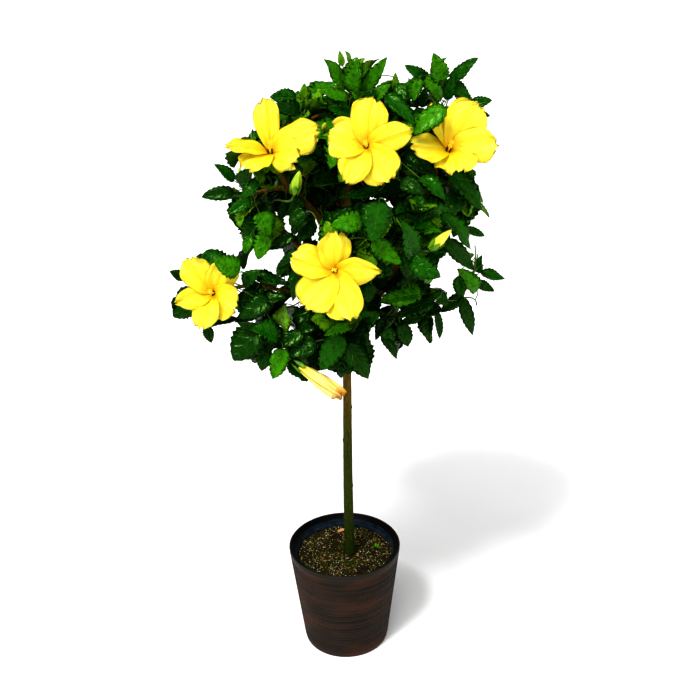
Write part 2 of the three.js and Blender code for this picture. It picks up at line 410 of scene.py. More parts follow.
grow_pot_mesh = turned("grow_pot_shell", rounded([
    (0, pot_low.z, 0),
    (floor_out, pot_low.z, 2 * MM),
    (collar_in - LEDGE + POT_WALL, ledge_top - POT_WALL, 0),
    (collar_in + POT_WALL, ledge_top - POT_WALL, 0.8 * MM),
    (collar_in + POT_WALL, lip_foot - POT_WALL, 0.8 * MM),
    (lip_out, pot_high.z - POT_WALL, 0.5 * MM),
    (lip_out, pot_high.z, 0.7 * MM),
    (collar_in, lip_foot, 1.6 * MM),
    (collar_in - 0.4 * MM, ledge_top, 0.9 * MM),
    (collar_in - LEDGE, ledge_top, 0.9 * MM),
    (floor_out - POT_WALL, floor_top, 2 * MM),
    (0, floor_top, 0),
]), black_polypropylene(lip_foot))
on_root("grow_pot_shell", grow_pot_mesh, "grow_pot", "grow_pot")

# ---- Potting mix --------------------------------------------------------------------------------
# Composted bark and peat with perlite, gone green with moss where it stays wet. The filling is one
# solid with a crumbled top; loose crumbs, perlite and bark chips lie on it.

MIX_STEP = 1.7 * MM
MIX_RELIEF = 3.2 * MM
BIG_CHIP = np.array((8.5, 4.5, 2.6)) * MM  # half its length, breadth and thickness
BIG_CHIP_AT = np.array((-7, 79, 1)) * MM


def mossy_compost():
    """Damp compost of bark and peat: dark brown fibres 1 to 3 mm long, olive where moss grows."""
    made, tree, shader = material("mossy_compost", 0.92, Specular_IOR_Level=0.1)
    grain = speckle(tree, (1, 1, 1), 520.0, 4.0, 0.7)
    moss = speckle(tree, (1, 1, 1), 38.0, 3.0)
    earth = blended(tree, ramp(tree, grain, 0.38, 0.66), "#0e0a04", "#3b2f19")
    green = blended(tree, ramp(tree, grain, 0.35, 0.68), "#171b04", "#444a12")
    tone = blended(tree, ramp(tree, moss, 0.43, 0.57, 0, 0.85), earth, green)
    coloured(tree, shader, tone)
    bumped(tree, shader, grain, 1.2 * MM, 0.8)
    return made


def mineral(name, dark, light, roughness):
    """A loose lump of the mix, blotched between two tones."""
    return blotched(name, dark, light, roughness, 240.0, Specular_IOR_Level=0.15)


def crumbled_tree():
    """Lifts and sinks the top of the filling by two sizes of noise."""
    tree, given, end = node_group("crumbled_top", Relief=0.003, Edge_Height=0.2, Material=None)
    place = node(tree, "GeometryNodeInputPosition")
    coarse = node(tree, "ShaderNodeTexNoise", {"Scale": 75.0, "Detail": 1.0})
    fine = node(tree, "ShaderNodeTexNoise", {"Scale": 330.0, "Detail": 3.0})
    both = calc(tree, "ADD", coarse.outputs["Fac"], fine.outputs["Fac"])
    lift = calc(tree, "MULTIPLY", calc(tree, "ADD", both, -1.0), given["Relief"])
    on_top = node(tree, "FunctionNodeCompare", {
        0: parted(tree, place.outputs["Position"])["Z"], 1: given["Edge_Height"],
    }, operation="GREATER_EQUAL")
    crumbled = moved(tree, given["Geometry"], upright(tree, lift),
                     Selection=on_top.outputs[0])
    return finished(tree, given, end, crumbled)


def scatter_tree():
    """Loose lumps strewn on the faces that look up: little twenty-faced stones, turned, stretched
    and dented at random."""
    tree, given, end = node_group(
        "loose_lumps", Density=1000.0, Least=0.001, Greatest=0.003, Breadth=1.0, Flatness=1.0,
        Seed=1, Material=None)
    normal = node(tree, "GeometryNodeInputNormal")
    upwards = node(tree, "FunctionNodeCompare", {
        0: parted(tree, normal.outputs["Normal"])["Z"], 1: 0.3}, operation="GREATER_THAN")
    drift = node(tree, "ShaderNodeTexNoise", {"Scale": 30.0, "Detail": 1.0})
    patchy = ramp(tree, drift.outputs["Fac"], 0.38, 0.62, 0.25, 1.75)
    spots = node(tree, "GeometryNodeDistributePointsOnFaces", {
        "Mesh": given["Geometry"], "Selection": upwards.outputs[0],
        "Density": calc(tree, "MULTIPLY", given["Density"], patchy),
        "Seed": given["Seed"],
    })
    stone = node(tree, "GeometryNodeMeshIcoSphere", {"Radius": 1.0, "Subdivisions": 1})
    size = node(tree, "FunctionNodeRandomValue", {
        2: given["Least"], 3: given["Greatest"], "Seed": given["Seed"],
    }, data_type="FLOAT")
    shape = node(tree, "ShaderNodeCombineXYZ", {
        "X": 1.0, "Y": given["Breadth"], "Z": given["Flatness"]})
    spin = node(tree, "FunctionNodeRandomValue", {
        0: (-0.5, -0.5, -math.pi), 1: (0.5, 0.5, math.pi), "Seed": given["Seed"],
    }, data_type="FLOAT_VECTOR")
    lumps = node(tree, "GeometryNodeInstanceOnPoints", {
        "Points": spots.outputs["Points"], "Instance": stone.outputs["Mesh"],
        "Rotation": spin.outputs[0],
        "Scale": scaled(tree, shape.outputs["Vector"], size.outputs[1]),
    })
    real = node(tree, "GeometryNodeRealizeInstances", {"Geometry": lumps.outputs["Instances"]})
    noise = node(tree, "ShaderNodeTexNoise", {"Scale": 700.0})
    dent = node(tree, "ShaderNodeVectorMath", {
        0: noise.outputs["Color"], 1: (-0.5, -0.5, -0.5)}, operation="ADD")
    pull = scaled(tree, dent.outputs["Vector"], given["Least"])
    dented = moved(tree, real.outputs["Geometry"], pull)
    return finished(tree, given, end, dented)


mix_low, mix_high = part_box("potting_mix")
mix_floor = radius_at("potting_mix", mix_low.z)
mix_out = mix_high.x
mix_edge = float(corners("potting_mix")[corners("potting_mix")[:, 0] > mix_out - 0.1 * MM, 2].max())
flat_radius = radius_at("potting_mix", mix_high.z)


def mix_height(r):
    """The top of the filling: flat round the trunk, a little lower at the wall of the pot."""
    return float(np.interp(r, (flat_radius, mix_out), (mix_high.z, mix_edge)))


top_rings = [(r, mix_height(r)) for r in np.arange(mix_out, MIX_STEP / 2, -MIX_STEP)]
filling = turned("filling", [
    (0, mix_low.z),
    (mix_floor, mix_low.z),
    (mix_out, mix_edge - 0.5 * MM),
    *top_rings,
    (0, mix_high.z),
])
compost = grown_mesh("compost", filling, crumbled_tree(), Relief=MIX_RELIEF,
                     Edge_Height=mix_edge - 0.1 * MM, Material=mossy_compost())
on_root("compost", compost, "potting_mix", "potting_mix")

LOOSE = {
    # name: pieces a square metre, least and greatest half length, breadth, flatness, seed, paint
    "soil_crumbs": (60000, 0.9 * MM, 2.4 * MM, 0.8, 0.7, 11,
                    mineral("damp_crumb", "#130e05", "#362a14", 0.95)),
    "moss_crumbs": (15000, 0.8 * MM, 2.0 * MM, 0.9, 0.8, 12,
                    mineral("moss_crumb", "#343a0c", "#717729", 0.95)),
    "perlite": (19000, 0.5 * MM, 1.5 * MM, 0.8, 0.8, 13,
                mineral("expanded_perlite", "#8d8672", "#e9e3cf", 0.9)),
    "bark_chips": (8000, 1.6 * MM, 4.6 * MM, 0.5, 0.28, 14,
                   mineral("pine_bark_chip", "#443114", "#987c46", 0.85)),
}
loose_tree = scatter_tree()
for name, (density, least, greatest, breadth, flatness, seed, paint) in LOOSE.items():
    lumps = grown_mesh(name, compost.copy(), loose_tree, Density=float(density), Least=least,
                       Greatest=greatest, Breadth=breadth, Flatness=flatness, Seed=seed,
                       Material=paint)
    on_root(name, lumps, "potting_mix")

chip_chance = np.random.default_rng(21)
big_chip = bmesh.new()
bmesh.ops.create_icosphere(big_chip, subdivisions=2, radius=1.0)
for corner in big_chip.verts:
    way = np.array(corner.co) * BIG_CHIP * (1 + chip_chance.uniform(-0.16, 0.16))
    corner.co = way + BIG_CHIP_AT + (0, 0, mix_high.z + 0.3 * way[0])
big_chip_mesh = bpy.data.meshes.new("big_bark_chip")
big_chip.to_mesh(big_chip_mesh)
big_chip.free()
big_chip_mesh.materials.append(mineral("weathered_bark_chip", "#a9713a", "#d6ab78", 0.85))
on_root("big_bark_chip", big_chip_mesh, "potting_mix")

# ---- Trunk and boughs ---------------------------------------------------------------------------
# The trained stem and the main boughs of its crown: smooth young bark, green at the foot and tan
# towards the fork, with faint lengthwise ridges and the knots where side shoots were cut off.

LIMB_STEP = 4 * MM
LIMB_VOXEL = 1.6 * MM
FLARE_HEIGHT = 16 * MM
BARK_RELIEF = 0.9 * MM
KNOTS = ((0.365, 20), (0.475, 170), (0.55, -15), (0.63, 150), (0.29, 200))  # height, bearing
KNOT_RISE = 0.35  # how steeply a knot stands up from the trunk
KNOT_OUT = 0.6 * MM
KNOT_SHARE = 0.42  # its radius for one of the trunk
FORK_WEIGHT = 12  # how many corners the fork counts for in the fit of a bough's line


def unit(v):
    """Vectors of length one, along the last axis."""
    v = np.asarray(v, float)
    return v / np.maximum(np.linalg.norm(v, axis=-1, keepdims=True), 1e-12)


def trunk_spine():
    """The trunk's middle line and radii from its rings, with the flare of the foot put back."""
    points = corners("trunk")
    heights = np.unique(np.round(points[:, 2], 4))
    rings = [points[np.abs(points[:, 2] - z) < SAME_HEIGHT] for z in heights]
    middle = np.array([ring.mean(0) for ring in rings])
    radius = np.array([
        np.hypot(*(ring - ring.mean(0))[:, :2].T).max() for ring in rings])
    taper = np.polyfit(heights[2:], radius[2:], 1)
    flare = radius[0] - np.polyval(taper, heights[0])
    z = np.arange(heights[0], heights[-1], LIMB_STEP)
    line = np.column_stack([np.interp(z, heights, middle[:, 0]),
                            np.interp(z, heights, middle[:, 1]), z])
    return line, np.polyval(taper, z) + flare * np.exp(-(z - heights[0]) / FLARE_HEIGHT)


def bough_spine(name, fork):
    """A bough's middle line from the fork to where it enters its mass, and its radii."""
    points = corners(name)
    away = np.linalg.norm(points - fork, axis=1)
    marks = np.append(away, [0] * FORK_WEIGHT)
    fits = [np.polyfit(marks, np.append(points[:, k], [fork[k]] * FORK_WEIGHT), 3)
            for k in range(3)]
    t = np.arange(0, away.max(), LIMB_STEP)
    line = np.column_stack([np.polyval(fit, t) for fit in fits])
    off = np.linalg.norm(points - np.column_stack([np.polyval(f, away) for f in fits]), axis=1)
    outer = off > 0.75 * np.percentile(off, 80)
    taper = np.polyfit(away[outer], off[outer], 1)
    return line, np.polyval(taper, t)


def tubes(name, splines):
    """A curve with one line for each pair of points and radii."""
    data = bpy.data.curves.new(name, "CURVE")
    data.dimensions = "3D"
    for points, radii in splines:
        line = data.splines.new("POLY")
        line.points.add(len(points) - 1)
        flat = np.column_stack([points, np.ones(len(points))]).ravel()
        line.points.foreach_set("co", flat)
        line.points.foreach_set("radius", np.asarray(radii, float))
    return data


def tube_tree():
    """A round skin on each line, as thick as the line's radius says."""
    tree, given, end = node_group("round_skin", Sides=8, Step=0.004, Material=None)
    even = node(tree, "GeometryNodeResampleCurve", {
        "Curve": given["Geometry"], "Length": given["Step"]}, mode="LENGTH")
    ring = node(tree, "GeometryNodeCurvePrimitiveCircle", {
        "Resolution": given["Sides"], "Radius": 1.0})
    radius = node(tree, "GeometryNodeInputRadius")
    skin = node(tree, "GeometryNodeCurveToMesh", {
        "Curve": even.outputs["Curve"], "Profile Curve": ring.outputs["Curve"],
        "Scale": radius.outputs["Radius"], "Fill Caps": True,
    })
    return finished(tree, given, end, skin.outputs["Mesh"])


def bark_tree():
    """Bark relief: the skin moves along its normal by noise drawn out along the stem."""
    tree, given, end = node_group("bark_relief", Relief=0.001, Material=None)
    place = node(tree, "GeometryNodeInputPosition")
    drawn = node(tree, "ShaderNodeVectorMath", {
        0: place.outputs["Position"], 1: (240.0, 240.0, 38.0)}, operation="MULTIPLY")
    ridges = node(tree, "ShaderNodeTexNoise", {
        "Vector": drawn.outputs["Vector"], "Scale": 1.0, "Detail": 2.0})
    swell = node(tree, "ShaderNodeTexNoise", {"Scale": 26.0, "Detail": 1.0})
    both = calc(tree, "ADD", ridges.outputs["Fac"], swell.outputs["Fac"])
    depth = calc(tree, "MULTIPLY", calc(tree, "ADD", both, -1.0), given["Relief"])
    normal = node(tree, "GeometryNodeInputNormal")
    push = scaled(tree, normal.outputs["Normal"], depth)
    relief = moved(tree, given["Geometry"], push)
    return finished(tree, given, end, relief)


def young_bark(foot, fork):
    """Young hibiscus bark: green where it still works as a leaf does, low on the stem, and tan
    with cork higher up, with small pale breathing pores."""
    made, tree, shader = material("young_hibiscus_bark", 0.66, Specular_IOR_Level=0.12)
    fine = speckle(tree, (1, 1, 0.18), 420.0, 4.0, 0.6)
    patch = speckle(tree, (1, 1, 0.5), 30.0, 2.0)
    wander = ramp(tree, patch, 0.3, 0.7, -0.05, 0.05)
    height = calc(tree, "ADD", parted(tree, object_place(tree))["Z"], wander)
    low = blended(tree, ramp(tree, height, foot, foot + 0.45 * (fork - foot)),
                  "#1a3300", "#363f00")
    tone = blended(tree, ramp(tree, height, foot + 0.4 * (fork - foot), fork), low, "#765a10")
    streaked = blended(tree, ramp(tree, fine, 0.42, 0.62, 0, 0.55), tone, "#2c270a")
    pores = speckle(tree, (1, 1, 2.2), 330.0, 1.0)
    spotted = blended(tree, ramp(tree, pores, 0.68, 0.72, 0, 0.6), streaked, "#8f8450")
    coloured(tree, shader, spotted)
    bumped(tree, shader, fine, 0.35 * MM, 0.7)
    return made


trunk_line, trunk_radii = trunk_spine()
fork = trunk_line[-1]
boughs = {name: bough_spine(name, fork) for name in sorted(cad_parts) if "bough" in name}


def knot(height, bearing):
    """The stub of a cut side shoot, which stands a little out of the trunk."""
    i = int(np.argmin(np.abs(trunk_line[:, 2] - height)))
    turn = math.radians(bearing)
    out = np.array((math.cos(turn), math.sin(turn), KNOT_RISE))
    reach = trunk_radii[i] + KNOT_OUT
    line = np.array([trunk_line[i] + out * reach * share for share in (0, 0.5, 1)])
    return line, np.full(3, KNOT_SHARE * trunk_radii[i])


limb_lines = [(trunk_line, trunk_radii), *boughs.values(), *(knot(*k) for k in KNOTS)]
round_skin = tube_tree()
skin = grown_mesh("limb_skin", tubes("limbs", limb_lines), round_skin, Sides=16, Step=LIMB_STEP)
limbs_holder = linked("limbs_holder", skin)
remesh = limbs_holder.modifiers.new("one_skin", "REMESH")
remesh.mode = "VOXEL"
remesh.voxel_size = LIMB_VOXEL
soften = limbs_holder.modifiers.new("soften", "SMOOTH")
soften.factor = 0.5
soften.iterations = 6
bark_paint = young_bark(trunk_line[0, 2], fork[2])
limbs = grown_mesh("trunk_and_boughs", limbs_holder, bark_tree(),
                   Relief=BARK_RELIEF, Material=bark_paint)
smooth(limbs)
on_root("trunk_and_boughs", limbs, "bark", "trunk", *boughs)

# ---- Twigs --------------------------------------------------------------------------------------
# The shoots of this year and last: they leave the boughs at a slant, fork once or twice and turn
# up to the light. A twig is as thick as the shoots it bears call for, and green near its end.

SHOOT_SPACING = 54 * MM  # between the ends of two shoots, over a mass's skin
LEAF_REACH = 46 * MM  # how far the last leaves stand out beyond a shoot's end
TWIG_STEP = 6 * MM
TIP_RADIUS = 1.25 * MM
THICKENING = 0.45  # the power of the number of shoots borne that a twig's radius goes with
BARE_END = 36 * MM  # the end of a shoot, from which no other grows
GREEN_END = 48 * MM
LOW_MASS, HIGH_MASS = 0.78, 1.0  # the heights between which the crown closes up
LOW_SPACING = 1.2  # how much further apart the shoots stand low down
SIDE_SHOOTS = (0.7, 0.92)  # shares of a bough's length where a short shoot stands
ARM_SHOOTS = (0.28, 0.36, 0.46, 0.56, 0.64, 0.72, 0.8, 0.88, 0.96)  # the same on the long low arm
HEART_HEIGHT = 200 * MM  # how far above the fork the crown's heart is
SWEEP = 0.36  # the share of a line's span over which it keeps each end's way
INNER_SKIN = -0.55  # no shoot ends where a mass's skin faces the heart more squarely than this
INNER_ENDS = 0.75  # how far from the skin to a mass's middle its inner shoots end
KEEP_ON = 0.7  # how much a shoot keeps on in the way of the limb it leaves
LEADER_RISE, SHOOT_RISE, SIDE_RISE = 0.4, 0.55, 0.5  # how much the kinds of shoots turn up
FAR_COST, TURN_COST = 1.7, 0.8  # what counts against a far place, and for one in the way
TOO_NEAR = 12 * MM  # a shoot starts at least this far from its end
UP = np.array((0.0, 0.0, 1.0))

EYE = np.array((0.02, -2.06, 1.69))  # where the plant is looked at from

# Openings of the crown, where the sky shows or its outline draws in, as seen from the eye: the
# mass, how far to the right of and above its middle, and the opening's radius
OPENINGS = (
    ("top_middle", (-64, 5), 16), ("top_middle", (-8, 62), 14),
    ("top_left", (-85, 8), 26), ("upper_left", (-54, 54), 28),
    ("upper_left", (-34, 62), 26), ("upper_left", (-74, 8), 16),
    ("left_shoulder", (-66, 56), 20), ("left_shoulder", (-70, -8), 22),
    ("left_shoulder", (-48, -58), 30), ("left_shoulder", (12, -108), 26),
    ("left_shoulder", (48, -108), 20), ("left_arm", (110, 26), 15),
    ("left_arm", (113, -14), 12), ("left_arm", (136, -38), 13),
    ("right_crest", (18, 72), 30), ("right_crest", (2, 52), 24),
    ("low_front", (-44, -82), 17), ("right_shoulder", (48, 30), 22),
    ("right_shoulder", (68, -25), 22), ("right_shoulder", (45, -72), 20),
    ("right_spray", (17, 65), 24), ("low_right", (2, 60), 20),
    ("low_right", (9, 26), 12), ("low_middle", (-15, 25), 15),
    ("low_middle", (-22, -66), 16), ("low_middle", (26, -62), 16),
    ("low_front", (43, -20), 16), ("left_shoulder", (-35, -8), 14),
    ("right_shoulder", (31, -46), 13), ("right_spray", (30, 35), 11),
    ("low_left", (23, 68), 10), ("low_left", (0, 96), 9),
    ("top_middle", (24, 58), 17), ("top_middle", (56, 12), 14),
    ("right_spray", (6, -78), 16), ("low_right", (0, 37), 13),
)

masses = {name: np.unique(corners(name).round(4), axis=0)
          for name in sorted(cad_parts) if name.startswith("leaves")}
middles = {name: points.mean(0) for name, points in masses.items()}
heart = fork + HEART_HEIGHT * UP
places, ways, parents, may_fork = [], [], [], []


def grown(points, parent, closed_end=0.0):
    """Adds a line to the plant's frame, and gives the numbers of its points."""
    left = np.linalg.norm(points - points[-1], axis=1)
    numbers = []
    for point, way, rest in zip(points, unit(np.gradient(points, axis=0)), left):
        places.append(point)
        ways.append(way)
        parents.append(parent)
        may_fork.append(rest >= closed_end)
        parent = len(places) - 1
        numbers.append(parent)
    return numbers


def bend(start, start_way, end, end_way, step=TWIG_STEP):
    """A smooth line that leaves start one way and comes to end another."""
    span = np.linalg.norm(end - start)
    t = np.linspace(0, 1, max(int(span / step), 3) + 1)[:, None]
    out = start + SWEEP * span * start_way
    back = end - SWEEP * span * end_way
    return ((1 - t) ** 3 * start + 3 * (1 - t) ** 2 * t * out
            + 3 * (1 - t) * t ** 2 * back + t ** 3 * end)


def looks(points):
    """The ways from the eye to points, and how far off they are."""
    away = np.asarray(points) - EYE
    reach = np.linalg.norm(away, axis=-1, keepdims=True)
    return away / reach, reach[..., 0]


def spot(mass, offset):
    """The point this far, in mm, from the middle of a mass's box."""
    low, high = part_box(f"leaves_{mass}")
    return (np.array(low) + np.array(high)) / 2 + np.array(offset) * MM


gap_ways, gap_reach = looks([spot(mass, (right, 0, high)) for mass, (right, high), _ in OPENINGS])
gap_sizes = np.array([radius for _, _, radius in OPENINGS]) * MM / gap_reach


def in_opening(points):
    """For each point, whether it is seen in one of the crown's openings."""
    ways_there, _ = looks(points)
    apart = np.linalg.norm(ways_there[:, None] - gap_ways[None], axis=2)
    return np.any(apart < gap_sizes, axis=1)


def shoot_ends(name):
    """Where a mass's shoots end: spread over its skin, the one furthest out first, and each
    drawn in by the reach of its leaves."""
    points, middle = masses[name], middles[name]
    outward = unit(middle - heart)
    spacing = SHOOT_SPACING * np.interp(middle[2], (LOW_MASS, HIGH_MASS), (LOW_SPACING, 1))
    skin = points[unit(points - middle) @ outward > INNER_SKIN]
    chosen = [skin[np.argmax(np.linalg.norm(skin - heart, axis=1))]]
    while True:
        gap = np.min([np.linalg.norm(skin - end, axis=1) for end in chosen], axis=0)
        if gap.max() < spacing:
            break
        chosen.append(skin[np.argmax(gap)])
    inward = middle - np.array(chosen)
    depth = np.linalg.norm(inward, axis=1, keepdims=True)
    ends = np.array(chosen) + inward * np.minimum(LEAF_REACH / depth, 0.6)
    inner = ends[1::3] + INNER_ENDS * (middle - ends[1::3])
    ends = np.concatenate([ends, inner])
    return ends[~in_opening(ends)]


def parent_for(end):
    """The point a shoot to this end grows from: a near one, and not against its limb's way."""
    gap = end - np.array(places)
    reach = np.linalg.norm(gap, axis=1)
    ahead = (gap * np.array(ways)).sum(1) / np.maximum(reach, 1 * MM)
    cost = reach * (FAR_COST - TURN_COST * ahead) + np.where(may_fork, 0.0, 1.0)
    return int(np.argmin(cost + np.where(reach < TOO_NEAR, 1.0, 0.0)))


grown(trunk_line[-12:], -1)
bough_ends = {name: grown(line, 0)[-1] for name, (line, radii) in boughs.items()}
limb_points = len(places)
leaders = {}
for name, end in bough_ends.items():
    gaps = {mass: np.linalg.norm(points - places[end], axis=1).min()
            for mass, points in masses.items()}
    leaders[min(gaps, key=gaps.get)] = name

shoots = []


def add_shoot(name, start, way, end, final):
    """Adds a mass's shoot: it leaves the frame's point `start` one way and ends another."""
    line = bend(places[start], way, end, final)
    shoots.append((name, start, grown(line[1:], start, BARE_END)))


for name in sorted(masses, key=lambda mass: np.linalg.norm(middles[mass] - fork)):
    ends = list(shoot_ends(name))
    if name in leaders:
        start = bough_ends[leaders[name]]
        first, ends = ends[0], ends[1:]
        add_shoot(name, start, ways[start], first, unit(unit(first - middles[name]) + LEADER_RISE * UP))
    for end in sorted(ends, key=lambda e: np.linalg.norm(e - fork)):
        start = parent_for(end)
        way = unit(unit(end - places[start]) + KEEP_ON * ways[start])
        add_shoot(name, start, way, end, unit(unit(end - middles[name]) + SHOOT_RISE * UP))

side_chance = np.random.default_rng(3)
for name, (line, radii) in boughs.items():
    for share in ARM_SHOOTS if name == "bough_left_arm" else SIDE_SHOOTS:
        start = bough_ends[name] - int((1 - share) * (len(line) - 1))
        side = side_chance.normal(0, 1, 3)
        way = unit(side - (side @ ways[start]) * ways[start] + 0.5 * ways[start] + 0.4 * UP)
        end = places[start] + way * side_chance.uniform(30, 48) * MM
        add_shoot("", start, way, end, unit(way + SIDE_RISE * UP))

borne = np.zeros(len(places))
for _, _, numbers in shoots:
    i = numbers[-1]
    while i >= limb_points:
        borne[i] += 1
        i = parents[i]

woody, green = [], []
leader_radius = {bough_ends[name]: radii[-1] for name, (line, radii) in boughs.items()}
for name, start, numbers in shoots:
    line = np.array([places[i] for i in (start, *numbers)])
    radii = TIP_RADIUS * borne[[numbers[0], *numbers]] ** THICKENING
    along = np.linspace(0, 1, len(radii))
    if start in leader_radius and name in leaders:
        radii = np.maximum(radii, leader_radius[start] * (1 - along) + TIP_RADIUS * along)
    radii = np.convolve(np.pad(radii, 2, "edge"), np.ones(5) / 5, "valid")
    split = max(len(line) - int(GREEN_END / TWIG_STEP), 2)
    woody.append((line[:split], radii[:split]))
    green.append((line[split - 1:], radii[split - 1:]))


def soft_skin(name, dark, light):
    """The skin of a soft new part: green, waxy and a little glossy."""
    return blotched(name, dark, light, 0.42, 60.0, Specular_IOR_Level=0.3)


def stems(name, lines, sides, step, paint, slot):
    """A piece of round stems, one along each pair of points and radii."""
    mesh = grown_mesh(name, tubes(name, lines), round_skin,
                      Sides=sides, Step=step, Material=paint)
    smooth(mesh)
    on_root(name, mesh, slot)


green_skin = soft_skin("green_shoot_skin", "#33500f", "#5c7a22")
stems("woody_twigs", woody, 6, TWIG_STEP, bark_paint, "bark")
stems("green_shoots", green, 6, TWIG_STEP, green_skin, "foliage")

# ---- Blooms -------------------------------------------------------------------------------------
# Single yellow blooms as wide as a hand: five thin crinkled petals that lap over each other, a
# golden throat, and a column of stamens. They come before the leaves, which keep clear of them.

PETAL_ROWS = 20
PETAL_COLUMNS = 21
SEPAL_ROWS = 8
SEPAL_COLUMNS = 5
PETAL_THICKNESS = 0.5 * MM
THROAT_RADIUS = 3 * MM
FLARE_END = 0.34  # the share of a petal's length in which the funnel opens
LAP = math.radians(10)  # each petal tilts by this, so one side lies over its neighbour
RUFFLE = 8 * MM
PLAIN = (0, 0, 0.5, 0, 0, 0.5)  # for a sepal, which is even
COLUMN_LENGTH = 31 * MM
COLUMN_TURN = 0.16  # how much the column turns up towards its tip
ANTHERS = 34
ANTHER_BAND = (0.45, 1.0)  # the shares of the column's length between which they stand
ANTHER_RADIUS = 0.85 * MM
COLUMN_RADII = (2.1 * MM, 1.0 * MM)  # at its foot and its tip
FILAMENT_RADIUS = 0.22 * MM
STYLE_RADIUS = 0.4 * MM
STYLES = 5
STYLE_REACH = 4.5 * MM
SEPAL = (27 * MM, 15 * MM, 48, 10)  # length, width, opening and curl
SEPAL_THICKNESS = 0.7 * MM
SEPAL_SEAT = 6 * MM  # how far behind the throat the sepals start
FLOWER_BASE = 10 * MM  # and how far behind it the flower stalk ends

# The mass a bloom stands on, its throat from that mass's middle, where it faces (bearing from
# the front and rise, in degrees), how far its petals open, and its petals from the topmost round
# to the right: bearing, length, width and how pointed, from 0 to 1.
BLOOMS = (
    ("upper_left", (9, -25, 7), (2, 47), 60,
     ((-3, 92, 46, 0.1), (78, 92, 64, 0.1), (120, 60, 62, 0), (226, 62, 56, 0.1), (264, 82, 36, 0.5))),
    ("upper_middle", (3, -72, 21), (-4, 22), 74,
     ((8, 78, 62, 0), (72, 80, 50, 0.4), (146, 70, 70, 0), (210, 70, 60, 0.4), (290, 64, 70, 0))),
    ("upper_right", (5, -35, 8), (10, 40), 66,
     ((40, 92, 72, 0), (92, 82, 62, 0.1), (178, 54, 72, 0), (272, 72, 62, 0.2), (340, 84, 36, 0.6))),
    ("front", (-16, -30, -20), (-2, 16), 74,
     ((3, 70, 58, 0.1), (91, 80, 54, 0.9), (160, 88, 68, 0), (220, 80, 70, 0), (289, 76, 56, 0.1))),
    ("left_arm", (-5, -40, 3), (-6, 22), 72,
     ((30, 69, 54, 0.1), (116, 54, 66, 0), (194, 70, 50, 0.1), (254, 68, 46, 0.6), (325, 75, 54, 0))),
    ("back_upper_left", (-14, 50, -52), (195, 16), 72,
     ((5, 76, 66, 0), (75, 78, 64, 0.2), (148, 76, 70, 0), (219, 78, 66, 0.3), (290, 74, 68, 0))),
    ("back_middle", (-10, 34, 5), (184, 22), 74,
     ((-12, 74, 64, 0.2), (62, 78, 68, 0), (133, 80, 66, 0), (206, 76, 70, 0.4), (275, 74, 64, 0))),
    ("back_right", (30, 44, 0), (140, 24), 68,
     ((10, 70, 60, 0), (82, 72, 64, 0.3), (155, 70, 62, 0), (226, 72, 60, 0), (296, 70, 64, 0.2))),
)


def facing_frame(bearing, rise):
    """Three columns: right, up and out of something that faces this way. A bearing of 0 is the
    front, and it turns towards the right."""
    a, e = math.radians(bearing), math.radians(rise)
    out = np.array((math.sin(a) * math.cos(e), -math.cos(a) * math.cos(e), math.sin(e)))
    right = unit(np.cross(UP, out))
    return np.column_stack([right, np.cross(out, right), out])


def spun(angle):
    """A turn about +Z."""
    c, s = math.cos(angle), math.sin(angle)
    return np.array(((c, -s, 0), (s, c, 0), (0, 0, 1)))


def sideways(sides, angle):
    """The way square to the last of three columns, at this angle round it."""
    return sides[:, 0] * math.cos(angle) + sides[:, 1] * math.sin(angle)


def on_line(marks, points, mark):
    """The point at one mark of a line that has a mark for each of its points."""
    return np.array([np.interp(mark, marks, points[:, k]) for k in range(3)])


def petal(length, width, opening, curl, whim, point=0.0, ruffle=RUFFLE, lap=LAP,
          rows=PETAL_ROWS, columns=PETAL_COLUMNS):
    """A petal as a grid of points: it stands on the flower's axis, +Z, and leans out to +Y.
    `whim` is six numbers from 0 to 1 that make each petal its own."""
    s = np.linspace(0, 1, rows)[:, None]
    t = np.linspace(-1, 1, columns)[None, :]
    phase = 2 * np.pi * np.asarray(whim)
    skew = 2 * np.asarray(whim) - 1
    rise = 0.2 + 0.8 * np.sin(0.5 * np.pi * np.clip(s / 0.6, 0, 1))
    tip = np.sqrt(1 - (np.clip(s - 0.7, 0, 1) / 0.345) ** 2)
    narrowing = 1 - 0.8 * point * np.clip((s - 0.4) / 0.6, 0, 1) ** 1.4
    half = 0.5 * width * rise * tip * narrowing * (1 + 0.14 * skew[2] * np.sign(t) * s)
    lean = np.radians(16 + (opening - 16) * np.clip(s / FLARE_END, 0, 1) ** 0.7 + curl * s ** 2)
    step = length / (rows - 1)
    out = THROAT_RADIUS + np.cumsum(np.sin(lean), axis=0) * step
    high = np.cumsum(np.cos(lean), axis=0) * step
    short = length * s ** 3 * (0.06 * t ** 2 + 0.05 * skew[5] * t + 0.03 * np.sin(9 * t + phase[1])
                               + 0.014 * np.sin(23 * t + phase[3]))
    wrap = np.clip(1 - s / 0.55, 0, 1)
    turn = t * half / (out + 2 * MM)
    across = wrap * out * np.sin(turn) + (1 - wrap) * half * t
    along = wrap * out * np.cos(turn) + (1 - wrap) * (out - short * np.sin(lean))
    folds = s ** 1.3 * (0.5 * np.sin(5.2 * t + phase[0]) + 0.34 * np.sin(10 * t + phase[1]))
    crinkle = 0.17 * s ** 3 * np.sin(20 * t + phase[2])
    waves = 0.75 * np.sin(13 * s + phase[3] + 1.7 * np.sign(t))
    margin = np.abs(t) ** 3.5 * s * (waves - 0.8 * whim[4])
    lift = ruffle * (folds + crinkle + margin) - t * half * math.tan(lap) + 0.10 * half * t ** 2
    return np.stack([across, along - lift * np.cos(lean),
                     high - short * np.cos(lean) + lift * np.sin(lean)], -1)


def sepal_blade(length, width, opening, curl):
    return petal(length, width, opening, curl, PLAIN, 0.6, 0.0, 0.0, SEPAL_ROWS, SEPAL_COLUMNS)


